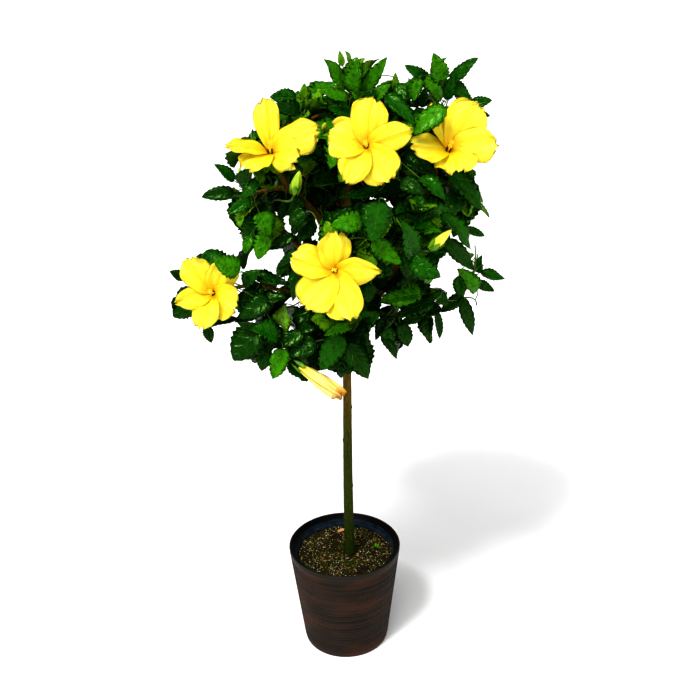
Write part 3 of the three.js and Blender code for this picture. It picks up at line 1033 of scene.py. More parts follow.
def closed_sheets(grids, thickness):
    """Thin closed sheets from grids of points, all of one size. A sheet's two sides meet along
    its margin. Gives points, faces, the side of each face, and each point's place on the grid."""
    grids = np.asarray(grids)
    count, rows, columns = grids.shape[:3]
    normal = unit(np.cross(np.gradient(grids, axis=2), np.gradient(grids, axis=1)))
    under = (grids - thickness * normal)[:, 1:-1, 1:-1]
    points = np.concatenate([grids.reshape(count, -1, 3), under.reshape(count, -1, 3)], axis=1)
    upper = np.arange(rows * columns).reshape(rows, columns)
    lower = upper.copy()
    lower[1:-1, 1:-1] = rows * columns + np.arange((rows - 2) * (columns - 2)).reshape(rows - 2, -1)

    def quads(index):
        return np.stack([index[:-1, :-1], index[:-1, 1:], index[1:, 1:], index[1:, :-1]], -1)

    one = np.concatenate([quads(upper).reshape(-1, 4), quads(lower).reshape(-1, 4)[:, ::-1]])
    faces = (one[None] + points.shape[1] * np.arange(count)[:, None, None]).reshape(-1, 4)
    side = np.tile(np.repeat((0, 1), len(one) // 2), count)
    across, along = np.meshgrid(np.linspace(0, 1, columns), np.linspace(0, 1, rows))
    plan = np.stack([across, along], -1)
    plan = np.concatenate([plan.reshape(-1, 2), plan[1:-1, 1:-1].reshape(-1, 2)])
    return points.reshape(-1, 3), faces, side, np.tile(plan, (count, 1))


def lay_out(mesh, plan):
    """Gives a mesh the UV map named plan, from the place of each of its points on it."""
    corner = np.empty(len(mesh.loops), int)
    mesh.loops.foreach_get("vertex_index", corner)
    layer = mesh.uv_layers.new(name="plan")
    layer.data.foreach_set("uv", np.asarray(plan)[corner].ravel())


def sheet_mesh(name, grids, thickness, *paints):
    """A mesh of closed sheets with a UV map named plan; a second paint goes on the underside."""
    points, faces, side, plan = closed_sheets(grids, thickness)
    mesh = mesh_of(name, points.tolist(), faces.tolist(), *paints)
    lay_out(mesh, plan)
    if len(paints) > 1:
        mesh.polygons.foreach_set("material_index", side)
    return mesh


def sheet_plan(tree):
    """Where a shaded point is on its sheet: across it and along it, from 0 to 1."""
    return node(tree, "ShaderNodeUVMap", uv_map="plan").outputs["UV"]


def petal_tissue():
    """A petal: thin, matt and water-filled, light yellow and paler towards its tip, which is partly
    painted highlight; golden down the throat, partly its own colour and partly painted shade of the
    funnel. Golden streaks along its folds and creases are painted shade mixed with the colour of the
    veins, which fan out along it, about 2 mm apart."""
    made, tree, shader = material("hibiscus_petal", 0.6, Subsurface_Weight=0.3,
                                  Subsurface_Radius=(1.0, 0.8, 0.15), Subsurface_Scale=3 * MM)
    plan = sheet_plan(tree)
    along = parted(tree, plan)["Y"]
    veins = speckle(tree, (26, 1.1, 1), 1.0, 3.0, 0.6, plan)
    folds = speckle(tree, (7, 1.4, 1), 1.0, 2.0, 0.5, plan)
    # paler towards the tip: partly the petal's own colour, partly painted highlight
    light = blended(tree, ramp(tree, along, 0.3, 0.8), "#ecd50e", "#f4e74c")
    # painted shade: golden streaks by the folds noise stand in for shade in the petal's folds
    streak = blended(tree, ramp(tree, folds, 0.42, 0.6, 0, 0.8), light, "#ecc804")
    # golden creases: the colour of the veins mixed with painted shade of the creases
    veins_and_crease_shade = blended(tree, ramp(tree, veins, 0.48, 0.66, 0, 0.4), streak, "#e0b20a")
    # golden throat: partly the petal's own colour, partly painted shade down the funnel
    gold = blended(tree, ramp(tree, along, 0.06, 0.42, 0.75, 0), veins_and_crease_shade, "#efb000")
    golden = blended(tree, ramp(tree, along, 0.02, 0.07, 0.8, 0), gold, "#9a4a0a")
    margin = calc(tree, "MULTIPLY", ramp(tree, along, 0.93, 1.0),
                  ramp(tree, veins, 0.52, 0.66, 0, 0.5))
    coloured(tree, shader, blended(tree, margin, golden, "#b9741a"))
    bumped(tree, shader, calc(tree, "MULTIPLY_ADD", folds, 2.5, veins), 1.2 * MM, 0.75)
    return made


def pollen_yellow():
    """The stamen column, pale yellow and slightly waxy, dusted with pollen."""
    made, tree, shader = material("stamen_column_wax", 0.5)
    tone = speckle(tree, (1, 1, 1), 400.0)
    coloured(tree, shader, blended(tree, ramp(tree, tone, 0.4, 0.6), "#f4c81c", "#fff04a"))
    return made


def anther_tree():
    """A small round anther on each point."""
    tree, given, end = node_group("anthers", Radius=0.001, Material=None)
    grain = node(tree, "GeometryNodeMeshIcoSphere", {
        "Radius": given["Radius"], "Subdivisions": 1})
    each = node(tree, "GeometryNodeInstanceOnPoints", {
        "Points": given["Geometry"], "Instance": grain.outputs["Mesh"]})
    return finished(tree, given, end, each.outputs["Instances"])


bloom_chance = np.random.default_rng(5)
petal_grids, sepal_grids = [], []
columns, filaments, anthers = [], [], []
bloom_feet, bloom_zones = [], []
for mass, offset, (bearing, rise), opening, petals in BLOOMS:
    throat = spot(mass, offset)
    out_frame = facing_frame(bearing, rise)
    for azimuth, length, width, point in petals:
        turn = out_frame @ spun(-math.radians(azimuth))
        curl = bloom_chance.uniform(0, 30)
        grid = petal(length * MM, width * MM, opening + bloom_chance.uniform(-10, 8), curl,
                     bloom_chance.uniform(0, 1, 6), point)
        petal_grids.append(throat + grid @ turn.T)
        sepal = sepal_blade(*SEPAL) - (0, 0, SEPAL_SEAT)
        sepal_grids.append(throat + sepal @ turn.T)
    axis = out_frame[:, 2]
    foot = throat - FLOWER_BASE * axis
    tip = throat + COLUMN_LENGTH * unit(axis + COLUMN_TURN * UP)
    stem = bend(throat - 2 * MM * axis, axis, tip, unit(axis + 0.5 * UP), 3 * MM)
    columns.append((stem, np.linspace(*COLUMN_RADII, len(stem))))
    for _ in range(ANTHERS):
        share = bloom_chance.uniform(*ANTHER_BAND)
        point = on_line(np.linspace(0, 1, len(stem)), stem, share)
        side = sideways(out_frame, bloom_chance.uniform(0, 2 * math.pi))
        end = point + bloom_chance.uniform(2.5, 5) * MM * unit(side + 0.5 * axis)
        filaments.append((np.array([point, end]), np.full(2, FILAMENT_RADIUS)))
        anthers.append(end)
    for k in range(STYLES):
        side = sideways(out_frame, 2 * math.pi * k / STYLES)
        end = tip + STYLE_REACH * unit(0.8 * side + axis)
        filaments.append((np.array([tip, end]), np.full(2, STYLE_RADIUS)))
        anthers.append(end)
    bloom_feet.append((foot, axis))
    bloom_zones.append((throat, axis, math.radians(opening), max(p[1] for p in petals) * MM))

on_root("petals", sheet_mesh("petals", petal_grids, PETAL_THICKNESS, petal_tissue()), "blossom")
on_root("sepals", sheet_mesh("sepals", sepal_grids, SEPAL_THICKNESS, green_skin), "foliage")
wax = pollen_yellow()
stems("stamen_columns", columns + filaments, 6, 3 * MM, wax, "blossom")
dots = mesh_of("anther_points", anthers, [])
dusty = grown_mesh("anthers", dots, anther_tree(), Radius=ANTHER_RADIUS, Material=wax)
on_root("anthers", dusty, "blossom")

# ---- Buds and spent bloom -----------------------------------------------------------------------
# Buds with their petals furled round each other in a spiral, out of a green calyx, and one bloom
# that has closed and withered at its end and hangs below the crown.

BUD_ROWS = 15
SPENT_ROWS = 31
BUD_SIDES = 30
LOBES = 5  # of a calyx
BUD_SEAT, SPENT_SEAT = 3 * MM, 18 * MM  # how far behind the petals' foot the calyx starts
BUD_CLEAR = 1.1  # half the width round a bud that stays in view, for one of its radius
CALYX_THICKNESS = 0.6 * MM
STALK_BACK = 25 * MM  # how far behind a flower its stalk leaves the plant's frame

# Foot from the mass's middle, the way it points, length, radius and petal colours
BUDS = (
    ("left_shoulder", (82, -78, 50), (0.22, -0.2, 1.0), 46, 8.5, "green"),
    ("front_right", (22, -40, -6), (0.68, -0.15, 0.72), 54, 7.5, "pale"),
    ("top_left", (40, -60, -20), (0.1, -0.6, 0.8), 22, 4.5, "pale"),
    ("back_left", (-20, 60, 20), (-0.3, 0.5, 0.8), 44, 6.5, "green"),
    ("back_crest", (-10, 58, 8), (0.1, 0.5, 0.9), 36, 5.5, "green"),
)
SPENT = ("low_left", (32, -40, -35), (0.77, -0.32, -0.5), 94, 11)


def frame_along(way):
    """Three columns, of which the last is this way."""
    way = unit(np.array(way, float))
    side = unit(np.cross(way, UP if abs(way[2]) < 0.9 else (0, 1, 0)))
    return np.column_stack([side, np.cross(way, side), way])


def furled(length, radius, rows, blunt, taper, twist, crumple, phase):
    """A furled bloom as a closed grid round its axis, +Z: slim at its foot, with the petals'
    edges as ridges that wind round it. Crumpled, its end is frayed."""
    s = np.linspace(0, 1, rows)[:, None]
    a = np.linspace(0, 2 * np.pi, BUD_SIDES, endpoint=False)[None, :]
    body = radius * (0.45 + 0.55 * np.sin(taper * s ** 0.85))
    body = body * np.sqrt(np.clip(1 - s ** blunt, 0, 1))
    winding = 5 * a + twist * s + phase
    body = body * (1 + (0.13 + 0.6 * crumple) * np.sin(winding)
                   + crumple * (0.3 + s) * np.sin(2 * winding + 7 * s))
    fray = crumple * np.clip((s - 0.8) / 0.2, 0, 1)
    body = body * (1 + 2.2 * fray * np.sin(6 * a + 2 * phase))
    x, y = body * np.cos(a), body * np.sin(a)
    sway = 0.03 * length * np.sin(2.6 * s + phase)
    return np.stack([x + sway, y + 0 * s, length * (s + 0.4 * fray * np.sin(4 * a + phase))], -1)


def furled_mesh(name, grids, paint):
    """Closed skins from grids that go round an axis; the first and last rows close to a point."""
    points, faces, plan = [], [], []
    for grid in grids:
        rows = len(grid) - 2
        faces += ring_faces(len(points), rows, BUD_SIDES)
        points += [grid[0].mean(0), *grid[1:-1].reshape(-1, 3), grid[-1].mean(0)]
        around = np.tile(np.arange(BUD_SIDES) / BUD_SIDES, rows)
        along = np.repeat(np.linspace(0.05, 0.95, rows), BUD_SIDES)
        plan += [(0.5, 0.0), *zip(around, along), (0.5, 1.0)]
    mesh = mesh_of(name, points, faces, paint)
    lay_out(mesh, plan)
    return mesh


def furled_petals(name, foot, body, tip, crease, share, roughness):
    """Furled petals: creased along, and shaded from the calyx to the end."""
    made, tree, shader = material(name, roughness)
    plan = sheet_plan(tree)
    along = parted(tree, plan)["Y"]
    streak = speckle(tree, (16, 1.6, 1), 1.0, 3.0, 0.5, plan)
    lower = blended(tree, ramp(tree, along, 0.1, 0.45), foot, body)
    upper = blended(tree, ramp(tree, along, 0.8, 0.97), lower, tip)
    tone = blended(tree, ramp(tree, streak, 0.46, 0.6, 0, share), upper, crease)
    coloured(tree, shader, tone)
    bumped(tree, shader, streak, 1.2 * MM, 0.8)
    return made


bud_grids = {"green": [], "pale": [], "spent": []}
calyx_grids = []
kept_in_view = []  # foot, tip and half width of what no leaf may grow in front of
bud_chance = np.random.default_rng(8)
for mass, offset, way, length, radius, kind in (*BUDS, (*SPENT, "spent")):
    foot = spot(mass, offset)
    turn = frame_along(way)
    spent = kind == "spent"
    habit = (SPENT_ROWS, 40, 2.3, 1.5, 0.2) if spent else (BUD_ROWS, 5, math.pi, 5.0, 0.0)
    seat = SPENT_SEAT if spent else BUD_SEAT
    grid = furled(length * MM, radius * MM, *habit, bud_chance.uniform(0, 6))
    bud_grids[kind].append(foot + grid @ turn.T)
    for k in range(LOBES):
        lobe = sepal_blade(min(0.45 * length, 28) * MM, (0.9 if spent else 1.5) * radius * MM, 14, -10)
        lobe[..., 1] += 0.3 * radius * MM
        lobe_turn = turn @ spun(2 * math.pi * k / LOBES)
        calyx_grids.append(foot - seat * turn[:, 2] + lobe @ lobe_turn.T)
    bloom_feet.append((foot - (seat - 1 * MM) * turn[:, 2], turn[:, 2]))
    kept_in_view.append((foot, foot + length * MM * turn[:, 2], BUD_CLEAR * radius * MM))

BUD_PAINTS = {
    "green": furled_petals("green_bud_petals", "#6f9a10", "#a2c024", "#c6d446", "#678a10", 0.5, 0.5),
    "pale": furled_petals("furled_yellow_petals", "#a9b92a", "#e2e24a", "#f0e648", "#b4b92c", 0.5, 0.55),
    "spent": furled_petals("withered_petals", "#e8d850", "#efe484", "#9a6214", "#cc8e24", 0.7, 0.7),
}
for kind, grids in bud_grids.items():
    name = f"{kind}_buds"
    on_root(name, furled_mesh(name, grids, BUD_PAINTS[kind]), "blossom")
calyx_skin = soft_skin("calyx_skin", "#3c7408", "#78aa1c")
on_root("calyxes", sheet_mesh("calyxes", calyx_grids, CALYX_THICKNESS, calyx_skin), "foliage")

stalks = []
for foot, way in bloom_feet:
    behind = np.array(places) - (foot - STALK_BACK * way)
    start = int(np.argmin(np.linalg.norm(behind, axis=1)))
    line = bend(places[start], unit(ways[start] + way), foot, way)
    stalks.append((line, np.linspace(1.5 * MM, 2.2 * MM, len(line))))
stems("flower_stalks", stalks, 8, 4 * MM, green_skin, "foliage")

# ---- Leaves -------------------------------------------------------------------------------------
# Glossy oval leaves with a toothed edge and sunk veins, on stalks set spirally round each shoot:
# small and upright at its end, large and hanging further back. Each shoot's spray has one tone.
# A seedling on the mix is made of the same leaves, tiny.

LEAF_ROWS = 15
LEAF_COLUMNS = 5
LEAF_THICKNESS = 0.45 * MM
SPIRAL = math.radians(137.5)
STALK_STEP = 5 * MM
BOLD_STALK = 22 * MM  # how far behind a listed leaf its stalk leaves the frame
BOLD_CLEAR = 0.38  # half the width of such a leaf that stays in view, for one of its breadth
ATTEMPTS = 6  # how often a leaf is tried before it is left out
SMALLER = 0.94  # a leaf's length at the next attempt, for one now, if it stands out too far
TURN_ON = 0.5  # how far round its shoot the next attempt stands, in radians
LOW_VIGOUR = 1.14  # how much larger the leaves low in the crown are
CROWN_OUT, CROWN_UP = 280 * MM, 260 * MM  # the crown's reach from its heart, aside and up
DEEP_BELOW, BRIGHT_FROM = 0.1, 0.75  # the scores of light that part the tones of sprays
YOUNG_LEAVES = 2  # how many leaves from a shoot's end are young
EDGE_ON = 0.2  # a leaf that would be seen this much edge-on from the front turns away from it
STRAY = 13 * MM  # how far a leaf's tip may stand out of the masses
HIDING_SHARE = 0.06  # the share of a leaf's points that may hide a bloom
OPEN_SHARE = 0.12  # and that may be seen in an opening
BLOOM_MARGIN = 12 * MM  # how far behind an open petal counts as in it
BLOOM_DEPTH = 95 * MM  # how far before a throat a leaf may hide the bloom
PETAL_EDGE = 6 * MM  # how much of a petal's rim a leaf may cover
VIEW_DEPTH = 8 * MM  # how far behind a thing kept in view a leaf counts as before it
WEED_LEAVES = 7  # a seedling on the mix
WEED_ROOT = np.array((67 * MM, 16 * MM, mix_height(69 * MM)))

# From a shoot's end back: distance, leaf stalk, blade, and the angle off the shoot in degrees
LEAF_ORDER = (
    (0, 4, 32, 14), (3, 8, 45, 28), (9, 13, 58, 42), (17, 17, 68, 54),
    (28, 21, 75, 62), (41, 25, 77, 68), (56, 27, 75, 72), (73, 28, 70, 76),
)
# deep, middle and bright are partly lit and shaded copies of one leaf (painted shade and light), partly
# the leaves' own tone
TONES = {
    # blade, vein, underside
    "deep": ("#063400", "#0d3d00", "#1a3b06"),
    "middle": ("#124f00", "#1b5902", "#264f0a"),
    "bright": ("#367900", "#438402", "#3f6b0c"),
    "young": ("#649a0a", "#76a812", "#64881c"),
}


def leaf_blade(length, breadth, fold, arch, wave, phase):
    """A blade as a grid of points: its foot at the origin, its tip towards +Y, its face +Z."""
    s = np.linspace(0.012, 0.988, LEAF_ROWS)[:, None]
    u = np.linspace(-1, 1, LEAF_COLUMNS)[None, :]
    odd = (-1.0) ** np.arange(LEAF_ROWS)[:, None]
    teeth = 1 + 0.07 * odd * (s > 0.12)
    half = 0.5 * breadth * np.sin(np.pi * s ** 0.7) ** 0.75 * (1 - 0.12 * s ** 3) * teeth
    bow = -arch * s
    step = length / (LEAF_ROWS - 1)
    along = np.cumsum(np.cos(bow), axis=0) * step - step
    drop = np.cumsum(np.sin(bow), axis=0) * step
    quilt = 0.006 * length * odd * (np.abs(u) == 0.5) * np.sin(np.pi * s)
    ripple = wave * length * u ** 2 * np.sin(2 * np.pi * 1.35 * s + phase + 1.4 * (u > 0))
    lift = np.abs(u) * half * math.tan(fold) + quilt + ripple
    return np.stack([u * half, along - lift * np.sin(bow) + 0 * u, drop + lift * np.cos(bow)], -1)


skins = {name: (unit(points - middles[name]), np.linalg.norm(points - middles[name], axis=1))
         for name, points in masses.items()}


def stray(point):
    """How far a point stands out of the nearest mass."""
    away = [np.linalg.norm(point - middles[name])
            - reach[np.argmax(ways_out @ (point - middles[name]))]
            for name, (ways_out, reach) in skins.items()]
    return min(away)


def hides_bloom(points):
    """Whether points lie in front of a bloom or in its petals."""
    for throat, axis, opening, reach in bloom_zones:
        away = points - throat
        ahead = away @ axis
        aside = np.linalg.norm(away - ahead[:, None] * axis, axis=1)
        in_front = ahead > aside / math.tan(opening) - BLOOM_MARGIN
        near = (ahead < BLOOM_DEPTH) & (aside < reach * math.sin(opening) - PETAL_EDGE)
        if np.mean(in_front & near) > HIDING_SHARE:
            return True
    return False


# Single leaves that are placed one by one, since they are big or stand out to the eye: the mass, the
# blade's foot and tip from that mass's middle, its breadth and its tone.
BOLD_LEAVES = (
    ("top_middle", (-20, -10, -10), (-55, -25, 43), 30, "bright"),
    ("top_middle", (-24, -5, 26), (-28, -5, 52), 12, "young"),
    ("top_middle", (-8, -20, -14), (0, -30, 38), 32, "bright"),
    ("top_middle", (8, -5, -22), (52, -10, 40), 28, "bright"),
    ("top_middle", (-18, -30, -26), (-64, -42, -8), 28, "bright"),
    ("top_middle", (-8, -40, -50), (-50, -52, -32), 26, "middle"),
    ("top_right", (3, -15, 10), (-10, -20, 60), 34, "bright"),
    ("top_right", (24, -5, 10), (66, -8, 48), 24, "middle"),
    ("top_right", (-24, -5, 12), (-58, -10, 38), 22, "middle"),
    ("top_right", (3, -35, -16), (-25, -45, 22), 24, "bright"),
    ("top_right", (-74, 0, -8), (-74, 0, 24), 14, "young"),
    ("top_right", (-68, -20, 10), (-62, -42, -20), 26, "middle"),
    ("top_right", (-35, -20, 18), (-45, -35, -18), 20, "bright"),
    ("top_left", (-8, -10, 26), (-52, -20, 30), 30, "middle"),
    ("top_left", (6, -5, 22), (8, -10, 50), 16, "young"),
    ("top_left", (-2, -30, 8), (-48, -45, 18), 30, "deep"),
    ("upper_right", (-4, -55, 90), (-56, -75, 50), 38, "bright"),
    ("upper_middle", (36, -20, 92), (84, -50, 48), 32, "middle"),
    ("upper_right", (-70, -30, 0), (-18, -55, -26), 36, "deep"),
    ("front_right", (-26, -40, 116), (16, -60, 100), 30, "deep"),
    ("front_right", (4, -45, 122), (46, -68, 90), 32, "middle"),
    ("right_shoulder", (-25, -60, 62), (35, -70, -10), 38, "middle"),
    ("left_shoulder", (-28, 0, 30), (-84, -5, 24), 26, "deep"),
    ("left_shoulder", (20, -60, 12), (36, -72, -26), 42, "bright"),
    ("left_shoulder", (-25, -10, 54), (-56, -15, 86), 22, "middle"),
    ("left_shoulder", (-12, -45, 58), (14, -60, 92), 28, "deep"),
    ("left_shoulder", (4, -30, 26), (-36, -45, 5), 24, "middle"),
    ("left_shoulder", (20, -55, 66), (-6, -70, 42), 28, "middle"),
    ("left_shoulder", (33, -45, -30), (14, -65, -72), 34, "bright"),
    ("left_shoulder", (76, -30, -42), (30, -40, -64), 24, "deep"),
    ("left_shoulder", (0, -40, -38), (-10, -55, -66), 20, "bright"),
    ("front", (30, -40, 70), (-20, -56, 68), 36, "bright"),
    ("front", (58, -30, 98), (46, -56, 38), 56, "middle"),
    ("left_arm", (46, -60, 52), (4, -76, 80), 42, "bright"),
    ("left_arm", (68, -20, 26), (126, -30, 12), 30, "deep"),
    ("left_arm", (-22, -40, -62), (-14, -50, -90), 20, "deep"),
    ("left_arm", (-58, -10, 20), (-82, -15, 36), 20, "deep"),
    ("low_left", (-39, -30, 31), (-83, -46, -19), 62, "deep"),
    ("low_left", (-2, -55, 30), (-46, -66, 52), 42, "middle"),
    ("low_left", (5, -50, 4), (-14, -66, -48), 34, "bright"),
    ("low_left", (-27, -35, 2), (-34, -46, -42), 30, "deep"),
    ("low_left", (12, -35, -30), (46, -46, -64), 30, "deep"),
    ("low_front", (-22, -50, 32), (-60, -62, -32), 42, "middle"),
    ("low_front", (-13, -50, 13), (25, -64, -50), 42, "deep"),
    ("low_middle", (-28, -20, -20), (0, -26, -66), 20, "deep"),
    ("front_right", (-5, -45, -16), (-26, -66, 58), 40, "middle"),
    ("front_right", (-74, -50, 15), (-26, -64, -20), 36, "bright"),
    ("front_right", (-10, -50, -20), (40, -60, -48), 36, "middle"),
    ("low_middle", (42, -45, 70), (-32, -56, 60), 44, "bright"),
    ("low_middle", (64, -40, 55), (-5, -50, 28), 38, "deep"),
    ("front_right", (44, -10, 48), (98, -5, -22), 30, "middle"),
    ("front_right", (54, -10, 0), (102, -5, -58), 30, "deep"),
    ("right_shoulder", (14, -5, -68), (48, -5, -84), 16, "middle"),
    ("right_spray", (0, -5, 16), (4, -5, 50), 18, "middle"),
    ("right_spray", (4, 0, 14), (48, -5, 2), 22, "middle"),
    ("right_spray", (-4, -10, -2), (28, -15, -18), 20, "deep"),
    ("right_spray", (-4, -20, -14), (-42, -30, 34), 36, "bright"),
    ("right_spray", (-32, -10, -30), (-8, -10, -110), 26, "deep"),
    ("low_right", (2, -40, 16), (-28, -50, 30), 34, "middle"),
    ("low_right", (-31, -25, -18), (-28, -36, -72), 34, "deep"),
    ("low_right", (-15, -10, -20), (-8, -10, -76), 16, "deep"),
    ("low_right", (-8, -20, -8), (-50, -30, -22), 26, "deep"),
    ("low_right", (32, -15, 14), (-8, -22, -16), 26, "deep"),
    ("low_right", (24, -10, 50), (30, -16, 4), 24, "middle"),
    ("left_arm", (47, -25, 10), (79, -32, 42), 28, "middle"),
    ("left_arm", (42, -25, -4), (58, -30, -52), 38, "middle"),
    ("left_arm", (70, -30, 4), (40, -38, -36), 36, "deep"),
    ("left_arm", (120, -10, 20), (119, -15, 58), 28, "deep"),
    ("low_middle", (5, -20, 2), (20, -26, -42), 30, "deep"),
    ("low_middle", (-22, -15, -6), (-10, -22, -50), 28, "middle"),
    ("front", (-62, 5, 70), (-90, 0, 50), 34, "deep"),
    ("front", (44, -10, -56), (37, -16, -88), 24, "deep"),
    ("upper_middle", (24, -15, -75), (-29, -25, -83), 28, "middle"),
    ("upper_middle", (-7, -20, -110), (37, -30, -89), 26, "deep"),
    ("low_left", (63, -30, 6), (14, -40, -17), 42, "deep"),
    ("low_left", (73, -20, -19), (45, -28, -55), 30, "deep"),
    ("low_front", (-7, -60, 56), (-52, -70, 40), 25, "bright"),
    ("low_left", (-16, -20, 85), (-68, -30, 54), 40, "deep"),
    ("low_left", (-23, -15, 83), (14, -20, 87), 24, "deep"),
    ("left_arm", (79, -20, 8), (47, -28, -18), 36, "deep"),
    ("top_right", (21, 0, 2), (55, -5, -24), 28, "middle"),
    ("right_crest", (-7, -5, 17), (30, -8, 26), 22, "middle"),
    ("right_crest", (-14, -5, 5), (28, -8, -2), 18, "deep"),
    ("low_left", (41, -30, 24), (-7, -40, 0), 30, "deep"),
    ("left_arm", (79, -20, -46), (27, -28, -60), 26, "deep"),
    ("left_arm", (32, -20, -56), (-20, -24, -70), 14, "deep"),
    ("front", (-78, -10, 7), (-113, -15, -21), 20, "deep"),
    ("front_right", (15, -10, -42), (55, -15, -18), 26, "middle"),
    ("left_shoulder", (103, -20, -9), (73, -30, -41), 30, "deep"),
    ("left_shoulder", (96, -20, 21), (64, -30, -5), 28, "deep"),
    ("top_middle", (16, -12, -43), (-9, -18, -11), 26, "bright"),
    ("top_middle", (9, -14, -43), (33, -20, -14), 22, "middle"),
    ("left_shoulder", (65, -15, 17), (53, -22, -16), 22, "deep"),
    ("low_left", (-34, -35, 36), (-72, -42, 51), 18, "deep"),
    ("low_left", (2, -35, 16), (-27, -42, -5), 22, "deep"),
    ("top_middle", (26, -10, -34), (59, -15, -4), 24, "bright"),
    ("top_right", (-61, -10, -24), (-45, -15, 17), 26, "bright"),
    ("top_right", (14, -10, -23), (26, -12, 24), 22, "middle"),
    ("top_middle", (-19, -25, -42), (-55, -32, -21), 24, "bright"),
    ("top_middle", (-9, -20, -53), (40, -30, -37), 24, "middle"),
    ("top_right", (-31, -10, -34), (-22, -14, 2), 18, "middle"),
    ("left_shoulder", (112, -25, -17), (83, -30, -54), 30, "deep"),
    ("low_middle", (44, -15, 13), (2, -20, 1), 18, "deep"),
    ("low_middle", (-18, -25, 20), (-40, -30, -25), 22, "deep"),
    ("front_right", (-26, -30, -16), (-15, -35, -58), 20, "deep"),
    ("upper_middle", (0, -20, -92), (-20, -25, -117), 20, "deep"),
    ("front", (-96, -10, -10), (-115, -15, -38), 18, "deep"),
    ("front", (-78, -10, -15), (-90, -15, -83), 24, "deep"),
)


def aimed(grid, foot, ahead, face, arch):
    """Sets a blade at its foot with its tip, after its arch, in the line ahead."""
    lean = 0.5 * arch
    along = math.cos(lean) * ahead + math.sin(lean) * face
    face = math.cos(lean) * face - math.sin(lean) * ahead
    return foot + grid @ np.array([np.cross(along, face), along, face])


def hides(points, zones):
    """Whether points lie in front of any of the things to be kept in view."""
    first, last, half, reach = zones
    ways_there, far = looks(points)
    run = last - first
    share = np.clip(((ways_there[:, None] - first) * run).sum(2) / (run * run).sum(1), 0, 1)
    apart = np.linalg.norm(ways_there[:, None] - first - share[..., None] * run, axis=2)
    return np.any((apart < half) & (far[:, None] < reach + VIEW_DEPTH))


def spray_tone(end):
    """The tone of a shoot's leaves: lighter high up and outside, deeper low and inside, by a score
    of light with a random share; partly painted light and shade of the crown, partly the leaves' own
    tone.
    """
    out = np.linalg.norm(end - heart) / CROWN_OUT
    high = (end[2] - heart[2]) / CROWN_UP
    score = 0.9 * high + 0.5 * out + leaf_chance.normal(0, 0.42)
    return "deep" if score < DEEP_BELOW else "middle" if score < BRIGHT_FROM else "bright"


leaf_chance = np.random.default_rng(77)
leaf_grids = {tone: [] for tone in TONES}
leaf_stalks = []


def add_stalk(line, radius):
    leaf_stalks.append((line, np.full(len(line), radius)))


frame_points = np.array(places)
for mass, offset, tip_offset, breadth, tone in BOLD_LEAVES:
    foot, tip = spot(mass, offset), spot(mass, tip_offset)
    length = np.linalg.norm(tip - foot)
    ahead = unit(tip - foot)
    light = unit(unit(EYE - foot) + leaf_chance.uniform(0.1, 0.9) * UP
                 + leaf_chance.normal(0, 0.2, 3))
    face = unit(light - (light @ ahead) * ahead)
    arch = leaf_chance.uniform(0.15, 0.8)
    blade = leaf_blade(length * (1 + arch ** 2 / 24), breadth * MM,
                       leaf_chance.uniform(0.1, 0.5), arch,
                       leaf_chance.uniform(0.02, 0.06), leaf_chance.uniform(0, 6.28))
    leaf_grids[tone].append(aimed(blade, foot, ahead, face, arch))
    kept_in_view.append((foot, tip, BOLD_CLEAR * breadth * MM))
    back = foot - BOLD_STALK * ahead
    start = int(np.argmin(np.linalg.norm(frame_points - back, axis=1)))
    add_stalk(bend(places[start], unit(ways[start] + ahead), foot, ahead, STALK_STEP), 0.9 * MM)

view_ends = [looks([zone[k] for zone in kept_in_view]) for k in (0, 1)]
view_reach = np.minimum(view_ends[0][1], view_ends[1][1])
view_zones = (view_ends[0][0], view_ends[1][0],
              np.array([zone[2] for zone in kept_in_view]) / view_reach, view_reach)


def leaf_with_room(root, axis, turn, order, length, in_mass):
    """A leaf that grows here, turned on round its shoot and made smaller until it has room and
    hides nothing that is to be seen: its blade, the blade's foot, and the ways its stalk starts
    and the blade points. None, if there is no such place."""
    _, stalk, _, splay = LEAF_ORDER[order]
    sides = frame_along(axis)
    out = unit(root - heart)
    light = unit(UP + 0.55 * out)
    for attempt in range(ATTEMPTS):
        a = turn + attempt * TURN_ON
        b = math.radians(splay + leaf_chance.uniform(-8, 8))
        way = math.sin(b) * sideways(sides, a) + math.cos(b) * axis
        foot = root + stalk * MM * unit(way + 0.25 * UP)
        droop = 0.12 * order + leaf_chance.uniform(-0.1, 0.25) - 0.25 * max(axis[2], 0)
        ahead = unit(way + 0.3 * out - max(droop, -0.1) * UP)
        face = unit(light - (light @ ahead) * ahead + 1e-6)
        right = np.cross(ahead, face)
        roll = leaf_chance.normal(0, 0.38)
        face = math.cos(roll) * face + math.sin(roll) * right
        right = np.cross(ahead, face)
        if abs(face @ unit(EYE - root)) < EDGE_ON:
            continue
        shape = leaf_blade(
            length, length * leaf_chance.uniform(0.7, 0.98), leaf_chance.uniform(0.1, 0.6),
            leaf_chance.uniform(0.25, 1.15), leaf_chance.uniform(0.02, 0.07),
            leaf_chance.uniform(0, 6.28))
        grid = foot + shape @ np.array([right, ahead, face])
        if in_mass and (stray(grid[-1, 2]) > STRAY or stray(grid[7, 2]) > STRAY):
            length *= SMALLER
            continue
        flat = grid[::2].reshape(-1, 3)
        if hides_bloom(flat) or hides(flat, view_zones) or in_opening(flat).mean() > OPEN_SHARE:
            continue
        return grid, foot, way, ahead
    return None


